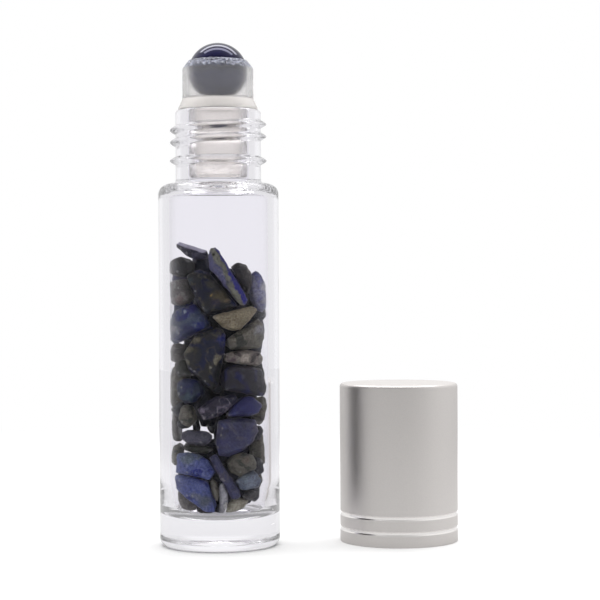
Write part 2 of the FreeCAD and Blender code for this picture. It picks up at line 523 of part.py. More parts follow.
core_stones = [
    (0, 82, 22, 40, 8, [(-42, 3.6), (-22, 6.6), (20, 6.9), (42, 4.4), (24, 1.1), (-20, 0.8)]),
    (0, 82, 20, 40, -6, [(-60, 9.4), (-40, 11.6), (-8, 11.4), (14, 8.8), (0, 7.3), (-46, 7.2)]),
    (0, 82, 20, 46, 5, [(14, 11.4), (22, 15.4), (50, 15.2), (60, 11.2), (44, 7.8), (22, 7.6)]),
    (0, 82, 20, 42, -8, [(-50, 18.0), (-38, 21.4), (-14, 21.8), (-2, 18.2), (-8, 14.9), (-36, 14.8)]),
    (0, 82, 20, 46, 6, [(-2, 21.0), (16, 25.4), (52, 25.6), (60, 20.8), (46, 16.0), (18, 15.9)]),
    (0, 82, 21, 46, -5, [(-54, 25.6), (-38, 29.4), (-12, 29.6), (6, 25.8), (-6, 22.6), (-38, 22.1)]),
    (0, 82, 20, 46, 7, [(-14, 31.6), (12, 34.0), (52, 34.1), (62, 30.2), (48, 26.3), (15, 26.3)]),
    (0, 82, 19, 46, -6, [(-60, 33.2), (-44, 36.9), (-14, 36.8), (-10, 34.8), (-24, 30.8), (-46, 30.2)]),
    (0, 82, 20, 44, 5, [(-10, 38.0), (10, 41.0), (42, 40.6), (56, 37.4), (42, 34.6), (10, 34.6)]),
    (0, 82, 18, 36, -4, [(-58, 39.6), (-52, 43.0), (-36, 43.7), (-19, 43.2), (-14, 41.0), (-24, 37.4),
                         (-46, 37.4)]),
    (0, 56, 7, 12, 4, [(-10, 13.2), (-6, 15.6), (4, 16.0), (10, 13.6), (4, 11.6), (-6, 11.9)]),
    # small chips in the pockets between the others
    (0, 95, 18, 22, 4, [(-40, 5.0), (-61, 3.9), (-92, 5.2), (-90, 7.6), (-64, 8.6), (-41, 7.5)]),
    (0, 141, 18, 22, 4, [(-20, 13.2), (-28, 14.1), (-23, 15.5), (-5, 16.0), (12, 14.2), (4, 13.3)]),
    (0, 129, 14, 17, 6, [(-69, 22.1), (-72, 24.1), (-53, 25.1), (-31, 24.3), (-31, 22.4), (-56, 21.1)]),
    (0, 101, 13, 16, -7, [(69, 2.3), (64, 1.2), (42, 0.7), (27, 1.6), (25, 2.9), (40, 4.0), (56, 3.8)]),
    (0, 49, 13, 16, -5, [(60, 32.4), (56, 34.0), (76, 35.3), (92, 34.6), (96, 33.2), (81, 31.7)]),
    (0, 103, 13, 15, 4, [(-45, -0.0), (-62, 1.3), (-55, 2.9), (-41, 3.4), (-25, 2.2), (-26, 0.7)]),
    (0, 37, 14, 16, -5, [(75, 9.8), (85, 9.1), (85, 7.3), (72, 6.5), (52, 7.5), (54, 9.4)]),
    (0, 137, 12, 15, 6, [(0, 32.0), (-18, 32.2), (-25, 33.5), (-19, 34.8), (-4, 35.2), (11, 34.5),
                         (16, 33.1)]),
    (0, 118, 13, 15, 8, [(80, 15.0), (64, 13.9), (44, 14.8), (45, 16.4), (62, 17.4), (80, 16.4)]),
    (0, 91, 12, 14, 8, [(-45, 13.4), (-51, 13.4), (-55, 14.2), (-57, 16.0), (-53, 16.8), (-46, 16.4),
                        (-40, 14.4)]),
    (0, 133, 12, 14, -5, [(2, 6.7), (-3, 8.2), (13, 9.2), (30, 8.5), (28, 6.6)]),
    (0, 48, 12, 15, -9, [(52, 2.9), (58, 4.6), (72, 5.1), (80, 4.3), (79, 2.8), (70, 2.0)]),
    (0, 120, 12, 15, -7, [(-63, 28.9), (-45, 27.6), (-56, 26.1), (-74, 25.9), (-86, 27.2), (-80, 28.5)]),
    (0, 109, 12, 14, -5, [(-46, 18.1), (-56, 16.8), (-73, 16.7), (-86, 18.1), (-76, 19.4), (-58, 19.6)]),
    (0, 127, 13, 15, 4, [(-1, 41.4), (13, 39.9), (3, 38.2), (-16, 38.2), (-28, 39.7), (-20, 41.0)]),
    (0, 137, 12, 15, -9, [(-3, 25.1), (12, 25.0), (23, 23.6), (7, 22.1), (-10, 22.5), (-18, 23.9)]),
    (0, 134, 12, 15, 6, [(9, 21.0), (18, 19.5), (9, 18.4), (-10, 18.0), (-20, 19.7), (-11, 20.9)]),
    (0, 119, 11, 13, -5, [(-60, 11.6), (-54, 11.2), (-58, 10.5), (-72, 10.3), (-85, 10.7), (-76, 11.6)]),
    (0, 35, 11, 14, 6, [(80, 15.0), (87, 14.0), (80, 12.7), (62, 12.6), (56, 14.3)]),
    (0, 50, 11, 13, 4, [(52, 26.3), (51, 28.1), (65, 28.8), (83, 28.0), (84, 26.9), (66, 25.8)]),
    (0, 32, 12, 14, 8, [(-74, 19.1), (-55, 18.1), (-60, 16.6), (-81, 16.4), (-93, 17.8)]),
    (0, 180, 11, 13, -9, [(-18, 15.1), (-14, 16.8), (1, 17.1), (19, 16.0), (15, 15.0), (-3, 14.4)]),
    (0, 54, 10, 12, -5, [(1, 8.4), (12, 7.5), (9, 6.3), (-3, 5.8), (-17, 6.6), (-14, 8.1)]),
    (0, 115, 10, 12, -5, [(52, 18.3), (55, 19.9), (72, 20.2), (82, 18.8), (69, 17.7)]),
    (0, 59, 10, 11, -9, [(2, 31.7), (-12, 31.3), (-26, 32.2), (-17, 33.7), (1, 33.1)]),
    (0, 53, 9, 11, -9, [(-5, 10.6), (11, 11.1), (21, 10.5), (21, 9.2), (8, 8.7), (-5, 9.2)]),
    (0, 120, 11, 13, 4, [(78, 10.0), (73, 8.8), (54, 8.5), (44, 9.5), (48, 10.8), (63, 11.3)]),
    (0, 35, 10, 12, -5, [(-67, 16.4), (-55, 15.9), (-51, 15.3), (-58, 14.8), (-71, 14.7), (-81, 15.0),
                         (-79, 15.9)]),
    (0, 102, 9, 11, 4, [(-23, 12.4), (-11, 12.6), (1, 12.2), (-4, 11.2), (-16, 11.0), (-29, 11.6)]),
    (0, 83, 10, 12, 8, [(-53, 30.2), (-45, 29.3), (-49, 28.0), (-62, 27.9), (-72, 28.5), (-74, 29.5),
                        (-62, 30.3)]),
    (0, 183, 9, 10, 4, [(-11, 22.9), (3, 23.2), (12, 22.5), (9, 21.5), (3, 21.0), (-13, 21.2),
                        (-15, 22.0)]),
    (0, 60, 8, 9, 8, [(-15, 21.2), (-11, 22.0), (-2, 22.3), (9, 21.9), (11, 21.0), (2, 20.2),
                      (-9, 20.5)]),
    (0, 51, 8, 10, -5, [(-11, 0.4), (-13, 1.5), (-5, 2.2), (8, 2.0), (13, 0.9), (4, 0.0)]),
]


# The room that the stones may fill: the cavity, inset by the gap that they keep from the glass.
def make_stone_room():
    body = new_body("stone_room")
    outline = [
        ("0", pile_floor),
        (pile_bowl_radius, pile_floor),
        (pile_radius, bowl_top),
        (pile_radius, cavity_top),
        ("0", cavity_top),
    ]
    turned(body, "Form", polygon(body, "Outline", outline))
    bowl = "Size.cavity_floor_radius - Size.stone_wall_gap"
    round_rings(body, "Bowl", bowl, [(pile_bowl_radius, pile_floor)])
    return body


def make_stone(name, room, against_glass, facing, inset, outward, inward, lean, outline):
    middle_across = sum(across for across, _ in outline) / len(outline)
    middle_up = sum(up for _, up in outline) / len(outline)
    hundredth = f"{pile_radius} / {grid_across}"
    step_up = f"{pile_height} / {grid_up}"
    from_axis = math.sqrt(grid_across ** 2 - middle_across ** 2) - inset
    # A front stone is turned to lie against the round wall. Its outline is drawn wider by as much, so
    # that it still looks from the front as it was laid out.
    wall_turn = math.asin(middle_across / grid_across) if against_glass else 0.0
    widen = 1 / math.cos(wall_turn)
    corners = []
    for across, up in outline:
        corners.append((f"{hundredth} * {(across - middle_across) * widen:.4f}",
                        f"{step_up} * {up - middle_up:.4f}"))
    body = new_body(f"{name}_blank")
    pad = body.newObject("PartDesign::Pad", "Swelling")
    pad.Profile = polygon(body, "Outline", corners)
    pad.SideType = "Two sides"
    pad.setExpression("Length", f"{hundredth} * {outward}")
    pad.setExpression("Length2", f"{hundredth} * {inward}")
    pad.setExpression("TaperAngle", "-Size.stone_outer_bevel")
    pad.setExpression("TaperAngle2", "-Size.stone_inner_bevel")
    upright = FreeCAD.Vector(0, 0, 1)
    turning = FreeCAD.Rotation(upright, facing + math.degrees(wall_turn))
    leaning = FreeCAD.Rotation(FreeCAD.Vector(1, 0, 0), lean)
    body.Placement = FreeCAD.Placement(FreeCAD.Vector(), turning.multiply(leaning))
    spot = FreeCAD.Rotation(upright, facing).multVec(FreeCAD.Vector(middle_across, -from_axis, 0))
    body.setExpression("Placement.Base.x", f"{hundredth} * {spot.x:.4f}")
    body.setExpression("Placement.Base.y", f"{hundredth} * {spot.y:.4f}")
    body.setExpression("Placement.Base.z", f"{pile_floor} + {step_up} * {middle_up:.4f}")
    stone = doc.addObject("Part::Common", name)
    stone.Label = name
    stone.Base = body
    stone.Tool = room
    return stone


def make_stones(room):
    layouts = {
        "front_stone": [(True, 0, *stone) for stone in front_stones],
        "left_stone": [(False, *stone) for stone in left_stones],
        "right_stone": [(False, *stone) for stone in right_stones],
        "back_stone": [(False, *stone) for stone in back_stones],
        "core_stone": [(False, *stone) for stone in core_stones],
    }
    stones = []
    for family, layout in layouts.items():
        made = [make_stone(f"{family}_{n:02d}", room, *stone) for n, stone in enumerate(layout, start=1)]
        if family == "core_stone":
            core = doc.addObject("Part::Compound", "core_stones")
            core.Label = "core_stones"
            core.Links = made
            made = [core]
        stones += made
    return stones


pieces = [make_glass_bottle(), make_roller_housing(), make_roller_ball()]
pieces += [make_cap_shell(), make_cap_liner()]
pieces += make_stones(make_stone_room())
doc.recompute()

for item in doc.Objects:
    if "Invalid" in item.State or "Error" in item.State:
        raise RuntimeError(f"{item.Name} failed: {item.State}")
for piece in pieces:
    if piece.Shape.isNull() or not piece.Shape.isValid():
        raise RuntimeError(f"{piece.Label} has no valid shape")

os.makedirs("parts", exist_ok=True)
for piece in pieces:
    piece.Shape.exportStep(f"parts/{piece.Label}.step")
print(len(pieces), "pieces written")
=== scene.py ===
import bmesh
import bpy
import math
from mathutils import Matrix, Vector


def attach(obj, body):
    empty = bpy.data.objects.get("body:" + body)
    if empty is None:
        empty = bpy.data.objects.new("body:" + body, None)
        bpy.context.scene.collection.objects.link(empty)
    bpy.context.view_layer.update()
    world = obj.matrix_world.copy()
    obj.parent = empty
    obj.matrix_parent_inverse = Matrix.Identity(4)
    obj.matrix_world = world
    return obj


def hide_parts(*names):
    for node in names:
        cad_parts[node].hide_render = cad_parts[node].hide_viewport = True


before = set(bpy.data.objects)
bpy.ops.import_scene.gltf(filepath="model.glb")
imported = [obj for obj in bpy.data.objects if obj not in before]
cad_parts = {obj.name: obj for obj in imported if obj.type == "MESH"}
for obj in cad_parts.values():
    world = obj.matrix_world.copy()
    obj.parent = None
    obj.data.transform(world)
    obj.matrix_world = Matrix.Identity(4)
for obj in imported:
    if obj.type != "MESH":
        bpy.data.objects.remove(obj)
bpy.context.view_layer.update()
mm = 0.001
touch = 1e-7  # metres: points nearer than this are the same point
ridgePower = 1.3  # how full the crest of a ridge is
print("frame loaded:", len(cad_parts), "nodes")


# small helpers
def srgb(hexColour):
    channels = [int(hexColour[k:k + 2], 16) / 255 for k in (1, 3, 5)]
    linear = [c / 12.92 if c <= 0.04045 else ((c + 0.055) / 1.055) ** 2.4 for c in channels]
    return (*linear, 1.0)


def perMetre(sizeMm):  # texture scale for a pattern whose repeat has this size
    return 1000.0 / sizeMm


smooth = {"interpolation_type": "SMOOTHSTEP"}  # for a range with soft ends
rgba = {"data_type": "RGBA"}  # for a mix of colours: inputs 6 and 7, output 2


def addNode(tree, kind, settings=None, links=None):  # a node given as a link stands for its first output
    node = tree.nodes.new("ShaderNode" + kind)
    for key, value in (settings or {}).items():
        if isinstance(key, int) or key in node.inputs:
            node.inputs[key].default_value = value
        else:
            setattr(node, key, value)
    for key, source in (links or {}).items():
        tree.links.new(getattr(source, "outputs", [source])[0], node.inputs[key])
    return node


def newMaterial(name):
    material = bpy.data.materials.new(name)
    material.use_nodes = True
    material.node_tree.nodes.clear()
    return material, material.node_tree


def deselectAll():
    if bpy.context.mode != "OBJECT":
        bpy.ops.object.mode_set(mode="OBJECT")
    bpy.ops.object.select_all(action="DESELECT")


def makeActive(piece):
    deselectAll()
    piece.select_set(True)
    bpy.context.view_layer.objects.active = piece


def selectPoints(piece, test):  # in edit mode, picks the vertices whose place passes the test
    mesh = bmesh.from_edit_mesh(piece.data)
    for vertex in mesh.verts:
        vertex.select_set(test(vertex.co))
    mesh.select_flush_mode()
    bmesh.update_edit_mesh(piece.data)


def selectEdge(piece, first, second):  # the drawn edge between two profile corners, in mm
    offLine, pastEnd = 1e-9, 1e-6  # what still counts as on the line and between its ends
    start, end = [Vector((r, 0, z)) * mm for r, z in (first, second)]
    along = end - start
    mesh = bmesh.from_edit_mesh(piece.data)
    for vertex in mesh.verts:
        vertex.select_set(False)
    for edge in mesh.edges:
        steps = [vertex.co - start for vertex in edge.verts]
        edge.select_set(all(
            step.cross(along).length < offLine and
            -pastEnd < step.dot(along) / along.length_squared < 1 + pastEnd for step in steps))
    mesh.select_flush_mode()
    bmesh.update_edit_mesh(piece.data)


# a turned piece: its half section is drawn point by point, its corners are rounded, and it is spun round.
# A corner is its radius and height in mm and, where it is rounded, the rounding and the steps of that
def turnedPiece(name, corners, steps, closed, finer=(), centre=(0, 0)):
    deselectAll()
    bpy.ops.mesh.primitive_plane_add(size=mm, location=(0, 0, 0))
    piece = bpy.context.object
    piece.name = piece.data.name = name
    bpy.ops.object.mode_set(mode="EDIT")
    bpy.ops.mesh.select_mode(type="VERT")
    bpy.ops.mesh.select_all(action="SELECT")
    bpy.ops.mesh.merge(type="CENTER")
    here = (corners[0][0] * mm, 0, corners[0][1] * mm)
    bpy.ops.transform.translate(value=here)
    for corner in corners[1:]:
        there = (corner[0] * mm, 0, corner[1] * mm)
        stepTo = [there[k] - here[k] for k in range(3)]
        bpy.ops.mesh.extrude_region_move(TRANSFORM_OT_translate={"value": stepTo})
        here = there
    if closed:
        ends = [Vector((c[0] * mm, 0, c[1] * mm)) for c in (corners[0], corners[-1])]
        selectPoints(piece, lambda spot: min((spot - end).length for end in ends) < touch)
        bpy.ops.mesh.edge_face_add()
    for r, z, rounding, segments in (c for c in corners if len(c) == 4):
        place = Vector((r * mm, 0, z * mm))
        selectPoints(piece, lambda spot: (spot - place).length < touch)
        bpy.ops.mesh.bevel(offset_type="OFFSET", offset=rounding * mm, segments=segments, profile=0.5,
                           affect="VERTICES")
    for first, second, cuts in finer:
        selectEdge(piece, first, second)
        bpy.ops.mesh.subdivide(number_cuts=cuts)
    bpy.ops.mesh.select_all(action="SELECT")
    bpy.ops.mesh.spin(steps=steps, angle=2 * math.pi, center=(0, 0, 0), axis=(0, 0, 1), use_auto_merge=True)
    bpy.ops.mesh.select_all(action="SELECT")
    bpy.ops.mesh.remove_doubles(threshold=touch)
    bpy.ops.mesh.normals_make_consistent(inside=False)
    bpy.ops.transform.translate(value=(centre[0] * mm, centre[1] * mm, 0))
    bpy.ops.object.mode_set(mode="OBJECT")
    return piece


def ridgeShape(offset, halfWidth):  # rounded ridge, 1 at its crest and 0 at its feet
    return math.cos(math.pi / 2 * offset / halfWidth) ** ridgePower if abs(offset) < halfWidth else 0.0


def screwRidge(angle, height, thread):  # how far a screw ridge stands out at this angle and height, in mm
    out = 0.0
    start = math.radians(thread["startAngle"])
    end = start + 2 * math.pi * thread["turns"]
    fade = math.radians(thread["fadeAngle"])
    for turn in range(-1, 4):
        along = angle + 2 * math.pi * turn
        if start < along < end:
            middle = thread["startHeight"] + thread["pitch"] * (along - start) / (2 * math.pi)
            taper = min(1.0, (along - start) / fade, (end - along) / fade)
            out = max(out, thread["depth"] * math.sin(math.pi / 2 * taper) *
                      ridgeShape(height - middle, thread["halfWidth"]))
    return out


def raiseRidges(piece, radius, low, high, ridge):  # moves the points of a turned wall in or out, in mm
    onWall = 0.01  # points this near the wall are on it
    for vertex in piece.data.vertices:
        spot = vertex.co / mm
        around = math.hypot(spot.x, spot.y)
        if abs(around - radius) < onWall and low - onWall < spot.z < high + onWall:
            out = ridge(math.atan2(spot.y, spot.x) % (2 * math.pi), spot.z)
            vertex.co.x *= 1 + out / around
            vertex.co.y *= 1 + out / around


def finishPiece(piece, material, body, nodes, angle=None):
    if not piece.data.materials:
        piece.data.materials.append(material)
    makeActive(piece)
    if angle is None:
        bpy.ops.object.shade_smooth()
    else:
        bpy.ops.object.shade_smooth_by_angle(angle=math.radians(angle))
    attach(piece, body)
    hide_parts(*nodes)


# glass bottle
bottle = {
    "radius": 10.0, "wall": 1.75, "shoulder": 60.1, "base": 4.9, "heelRound": 1.4, "shoulderRound": 1.8,
    "pushUpDepth": 0.8, "pushUpRadius": 6.4, "domeSteps": 10,
    "bowlRound": 2.3, "bowlShare": 0.872,  # the bevel of the bowl's blunt corner, as a share of its round
    "bowlTaper": 0.75, "bowlHeight": 5.5, "bowlBlend": 0.6, "innerShoulder": 58.7, "innerRound": 1.1,
    "neckRadius": 7.1, "boreRadius": 5.1, "lip": 72.3, "lipRound": 0.5, "neckRound": 0.7,
    "steps": 176, "bodyRows": 18, "cavityRows": 16, "neckRow": 0.09, "smoothAngle": 50,
    "beadHeight": 63.9, "beadDepth": 0.95, "beadHalfWidth": 0.72,
    "thread": {"startAngle": 144.0, "turns": 1.7, "pitch": 2.03, "startHeight": 66.73, "depth": 0.92,
               "halfWidth": 0.72, "fadeAngle": 28.0},
}


def makeGlassFinish():
    # Soda-lime glass, pressed and fire polished: clear, with the slow ripple that the mould leaves.
    material, tree = newMaterial("sodaLimeGlass")
    place = addNode(tree, "TexCoord").outputs["Object"]
    ripple = addNode(tree, "TexNoise", {"Scale": perMetre(5.0), "Detail": 1.0}, {"Vector": place})
    bump = addNode(tree, "Bump", {"Strength": 0.12, "Distance": 0.1 * mm}, {"Height": ripple})
    glass = addNode(tree, "BsdfPrincipled",
                    {"Base Color": srgb("#f5f4f8"), "Roughness": 0.0, "IOR": 1.52, "Transmission Weight": 1.0,
                     "Specular Tint": srgb("#646464")}, {"Normal": bump})
    addNode(tree, "OutputMaterial", links={"Surface": glass})
    return material


def makeGlassBottle():
    b = bottle
    domeRadius = (b["pushUpRadius"] ** 2 + b["pushUpDepth"] ** 2) / (2 * b["pushUpDepth"])
    dome = []
    for k in range(b["domeSteps"]):
        r = b["pushUpRadius"] * k / b["domeSteps"]
        dome.append((r, b["pushUpDepth"] - domeRadius + math.sqrt(domeRadius ** 2 - r ** 2)))
    inner = b["radius"] - b["wall"]
    bowlTop = b["base"] + b["bowlHeight"]
    neckLow, neckHigh = b["shoulder"] + b["neckRound"], b["lip"] - b["lipRound"]
    corners = dome + [
        (b["pushUpRadius"], 0.0),
        (b["radius"], 0.0, b["heelRound"], 8),
        (b["radius"], b["shoulder"], b["shoulderRound"], 10),
        (b["neckRadius"], b["shoulder"], b["neckRound"], 6),
        (b["neckRadius"], b["lip"], b["lipRound"], 6),
        (b["boreRadius"], b["lip"], b["lipRound"], 6),
        (b["boreRadius"], b["innerShoulder"], b["neckRound"], 6),
        (inner, b["innerShoulder"], b["innerRound"], 12),
        (inner, bowlTop, b["bowlBlend"], 4),
        (inner - b["bowlTaper"], b["base"], b["bowlShare"] * b["bowlRound"], 18),
        (0.0, b["base"]),
    ]
    finer = [
        ((b["neckRadius"], neckLow), (b["neckRadius"], neckHigh), round((neckHigh - neckLow) / b["neckRow"])),
        ((b["radius"], b["heelRound"]), (b["radius"], b["shoulder"] - b["shoulderRound"]), b["bodyRows"]),
        ((inner, b["innerShoulder"] - b["innerRound"]), (inner, bowlTop + b["bowlBlend"]), b["cavityRows"]),
    ]
    piece = turnedPiece("glassBottle", corners, b["steps"], False, finer)
    # the bead ring and the screw ridge rise out of the neck
    raiseRidges(piece, b["neckRadius"], neckLow, neckHigh, lambda angle, height: max(
        b["beadDepth"] * ridgeShape(height - b["beadHeight"], b["beadHalfWidth"]),
        screwRidge(angle, height, b["thread"])))
    finishPiece(piece, makeGlassFinish(), "bottle", ["glass_bottle"], b["smoothAngle"])
    print("glass bottle:", len(piece.data.polygons), "faces")


# roller fitment
fitment = {
    "plugBottom": 60.9, "plugRadius": 4.85, "plugBore": 3.9, "plugLead": 0.6, "plugRound": 0.12,
    "ringRadius": 5.05, "ringHeights": (63.5, 69.3), "ringWidth": 0.7,
    "flangeBottom": 72.32, "flangeRadius": 6.6, "flangeEdge": 0.45, "flangeTaper": 1.45,
    "flangeLowRound": 0.1, "flangeHighRound": 0.15,
    "socketRadius": 5.9, "socketTop": 80.6, "socketRound": 0.3, "chamferWidth": 1.05, "chamferHeight": 1.35,
    "rimRound": 0.08, "lipSteps": 8, "ballCentre": 78.6, "socketSphere": 5.03, "pocketTop": 79.2,
    "seatRound": 0.25, "throatRadius": 2.05, "throatSeat": 74.007, "throatStep": 0.8, "throatRound": 0.12,
    "steps": 128, "smoothAngle": 35,
    # from the plug up: height, tint and how clear the plastic is there
    "milk": ((72.0, "#fefcf8", 0.97), (72.5, "#fbf7f4", 0.55), (74.0, "#fbf7f4", 0.55),
             (74.3, "#f8f7f7", 0.93), (79.15, "#f8f7f7", 0.93), (79.35, "#c9cde0", 0.84)),
}


def makePolyethyleneFinish():
    # Natural low-density polyethylene, moulded: milky and warm in the flange, clearer where it lies close on
    # the ball, and scuffed to a blue-grey sparkle at the rim.
    f = fitment
    material, tree = newMaterial("naturalPolyethylene")
    place = addNode(tree, "TexCoord").outputs["Object"]
    up = addNode(tree, "SeparateXYZ", links={"Vector": place}).outputs["Z"]
    high = addNode(tree, "MapRange", {"From Min": f["plugBottom"] * mm, "From Max": f["socketTop"] * mm},
                   {"Value": up})
    ramps = {}
    for key in ("tint", "clear"):  # up the piece: the plug, the flange, the wall round the ball, the rim
        ramps[key] = addNode(tree, "ValToRGB", links={"Fac": high})
        stops = ramps[key].color_ramp.elements
        for number, (height, tint, clear) in enumerate(f["milk"]):
            spot = (height - f["plugBottom"]) / (f["socketTop"] - f["plugBottom"])
            if len(stops) <= number:
                stops.new(spot)
            stops[number].position = spot
            stops[number].color = srgb(tint) if key == "tint" else (clear, clear, clear, 1.0)
    flow = addNode(tree, "TexNoise", {"Scale": perMetre(1.2), "Detail": 3.0}, {"Vector": place})
    sheen = addNode(tree, "MapRange", {"To Min": 0.18, "To Max": 0.26}, {"Value": flow})
    # the rim is scuffed by the ball: crinkles stand on it, and fade out below
    crinkle = addNode(tree, "TexNoise", {"Scale": perMetre(0.45), "Detail": 2.0}, {"Vector": place})
    rimFoot = f["socketTop"] - f["chamferHeight"]
    rim = addNode(tree, "MapRange", {"From Min": (rimFoot - 0.05) * mm, "From Max": (rimFoot + 0.15) * mm,
                                     "To Min": 0.03, "To Max": 1.0}, {"Value": up})
    bump = addNode(tree, "Bump", {"Distance": 0.25 * mm}, {"Height": crinkle, "Strength": rim})
    fleck = addNode(tree, "MapRange", {"From Min": 0.35, "From Max": 0.65, "To Min": -0.3, "To Max": 0.3},
                    {"Value": crinkle})
    clear = addNode(tree, "Math", {"operation": "MULTIPLY_ADD", "use_clamp": True},
                    {0: fleck, 1: rim, 2: ramps["clear"]})
    milk = addNode(tree, "BsdfPrincipled", {"IOR": 1.5, "Specular Tint": srgb("#9a9a9a")},
                   {"Base Color": ramps["tint"], "Transmission Weight": clear, "Roughness": sheen,
                    "Normal": bump})
    addNode(tree, "OutputMaterial", links={"Surface": milk})
    return material


def makeRollerHousing():
    f = fitment
    corners = [(f["plugBore"], f["plugBottom"]),
               (f["plugRadius"] - f["plugLead"] / 2, f["plugBottom"], f["plugRound"], 3),
               (f["plugRadius"], f["plugBottom"] + f["plugLead"], f["plugRound"], 3)]
    for height in f["ringHeights"]:
        for share, r in ((-0.5, "plugRadius"), (-0.25, "ringRadius"), (0.25, "ringRadius"),
                         (0.5, "plugRadius")):
            corners.append((f[r], height + share * f["ringWidth"]))
    flangeTop = f["flangeBottom"] + f["flangeEdge"]
    corners += [
        (f["plugRadius"], f["flangeBottom"]),
        (f["flangeRadius"], f["flangeBottom"], f["flangeLowRound"], 3),
        (f["flangeRadius"], flangeTop, f["flangeHighRound"], 4),
        (f["socketRadius"], flangeTop + f["flangeTaper"], f["socketRound"], 5),
        (f["socketRadius"], f["socketTop"] - f["chamferHeight"], f["socketRound"], 6),
        (f["socketRadius"] - f["chamferWidth"], f["socketTop"], f["rimRound"], 4),
    ]
    rimAngle = math.asin((f["socketTop"] - f["ballCentre"]) / f["socketSphere"])
    lipAngle = math.asin((f["pocketTop"] - f["ballCentre"]) / f["socketSphere"])
    for k in range(f["lipSteps"] + 1):  # the lip closes over the ball, and the pocket below it is straight
        angle = rimAngle + (lipAngle - rimAngle) * k / f["lipSteps"]
        corners.append((f["socketSphere"] * math.cos(angle),
                        f["ballCentre"] + f["socketSphere"] * math.sin(angle)))
    corners += [
        (f["socketSphere"], f["pocketTop"]),
        (f["socketSphere"], f["throatSeat"], f["seatRound"], 4),
        (f["throatRadius"], f["throatSeat"], f["throatRound"], 3),
        (f["throatRadius"], f["throatSeat"] - f["throatStep"]),
        (f["plugBore"], f["throatSeat"] - 2 * f["throatStep"]),
    ]
    piece = turnedPiece("rollerHousing", corners, f["steps"], True)
    finishPiece(piece, makePolyethyleneFinish(), "fitment", ["roller_housing"],
                f["smoothAngle"])
    print("roller housing:", len(piece.data.polygons), "faces")


# ball
ball = {"radius": 4.95, "centre": fitment["ballCentre"], "cuts": 20,
        "fade": 0.8}  # half the height of the band where it turns paler


def makeBallFinish():
    # Polished blue stone: nearly black in itself, with faint clouds, under a hard mirror polish. Its side
    # below, inside the milky housing, is painted paler and bluer: painted light, for the haze the plastic
    # scatters over it.
    material, tree = newMaterial("polishedBlueStone")
    place = addNode(tree, "TexCoord").outputs["Object"]
    clouds = addNode(tree, "TexNoise", {"Scale": perMetre(3.0), "Detail": 4.0, "Distortion": 0.6},
                     {"Vector": place})
    ramp = addNode(tree, "ValToRGB", links={"Fac": clouds})
    for stop, (spot, tint) in zip(ramp.color_ramp.elements, ((0.35, "#050518"), (0.7, "#0a0a30"))):
        stop.position, stop.color = spot, srgb(tint)
    up = addNode(tree, "SeparateXYZ", links={"Vector": place}).outputs["Z"]
    # painted light: paler and bluer below, for the haze the milky housing scatters over the ball
    below = addNode(tree, "MapRange", smooth | {"From Min": (ball["centre"] + ball["fade"]) * mm,
                                                "From Max": (ball["centre"] - ball["fade"]) * mm},
                    {"Value": up})
    colour = addNode(tree, "Mix", rgba | {7: srgb("#12173f")}, {0: below, 6: ramp}).outputs[2]
    stone = addNode(tree, "BsdfPrincipled", {"Roughness": 0.05, "IOR": 1.5, "Specular Tint": srgb("#c4c4ee")},
                    {"Base Color": colour})
    addNode(tree, "OutputMaterial", links={"Surface": stone})
    return material


def makeRollerBall():
    deselectAll()
    bpy.ops.mesh.primitive_cube_add(size=2 * ball["radius"] * mm, location=(0, 0, 0))
    piece = bpy.context.object
    piece.name = piece.data.name = "rollerBall"
    bpy.ops.object.mode_set(mode="EDIT")
    bpy.ops.mesh.select_all(action="SELECT")
    bpy.ops.mesh.subdivide(number_cuts=ball["cuts"])
    bpy.ops.object.mode_set(mode="OBJECT")
    for vertex in piece.data.vertices:  # rounds the cube to the ball's own radius
        vertex.co = vertex.co.normalized() * ball["radius"] * mm + Vector((0, 0, ball["centre"] * mm))
    finishPiece(piece, makeBallFinish(), "ball", ["roller_ball"])
    print("ball:", len(piece.data.polygons), "faces")


# cap
cap = {
    "right": 30.1, "back": 4.4, "radius": 9.95, "height": 26.6, "wall": 0.45, "topRound": 0.55,
    "rimRound": 0.12, "underRound": 0.3, "rings": (2.3, 4.8), "ringWidth": 0.7, "ringFloor": 0.3,
    "ringDepth": 0.16, "steps": 160, "smoothAngle": 25,
}


def makeSatinFinish():
    # Aluminium, blasted fine and anodised: an even satin that smears what it mirrors.
    material, tree = newMaterial("satinAnodisedAluminium")
    place = addNode(tree, "TexCoord").outputs["Object"]
    # the real grit is finer: drawn so that it just shows
    grit = addNode(tree, "TexNoise", {"Scale": perMetre(0.16), "Detail": 2.0}, {"Vector": place})
    rough = addNode(tree, "MapRange", {"To Min": 0.42, "To Max": 0.48}, {"Value": grit})
    tint = addNode(tree, "Mix", rgba | {6: srgb("#dfdbd8"), 7: srgb("#d5d1cf")}, {0: grit}).outputs[2]
    bump = addNode(tree, "Bump", {"Strength": 0.1, "Distance": 0.02 * mm}, {"Height": grit})
    metal = addNode(tree, "BsdfPrincipled", {"Metallic": 1.0},
                    {"Base Color": tint, "Roughness": rough, "Normal": bump})
    addNode(tree, "OutputMaterial", links={"Surface": metal})
    return material


def makeBrightCutFinish():
    # The same aluminium where a diamond tool has cut through the satin: a mirror with a faint turning wave.
    material, tree = newMaterial("brightCutAluminium")
    place = addNode(tree, "TexCoord").outputs["Object"]
    ownRepeat = 2 * math.pi / 20  # of the wave texture, at a scale of 1
    wave = addNode(tree, "TexWave", {"wave_type": "BANDS", "bands_direction": "Z", "Distortion": 0.4,
                                     "Scale": perMetre(0.754) * ownRepeat}, {"Vector": place})
    bump = addNode(tree, "Bump", {"Strength": 0.08, "Distance": 0.01 * mm}, {"Height": wave.outputs["Fac"]})
    metal = addNode(tree, "BsdfPrincipled",
                    {"Base Color": srgb("#f2efed"), "Metallic": 1.0, "Roughness": 0.2}, {"Normal": bump})
    addNode(tree, "OutputMaterial", links={"Surface": metal})
    return material


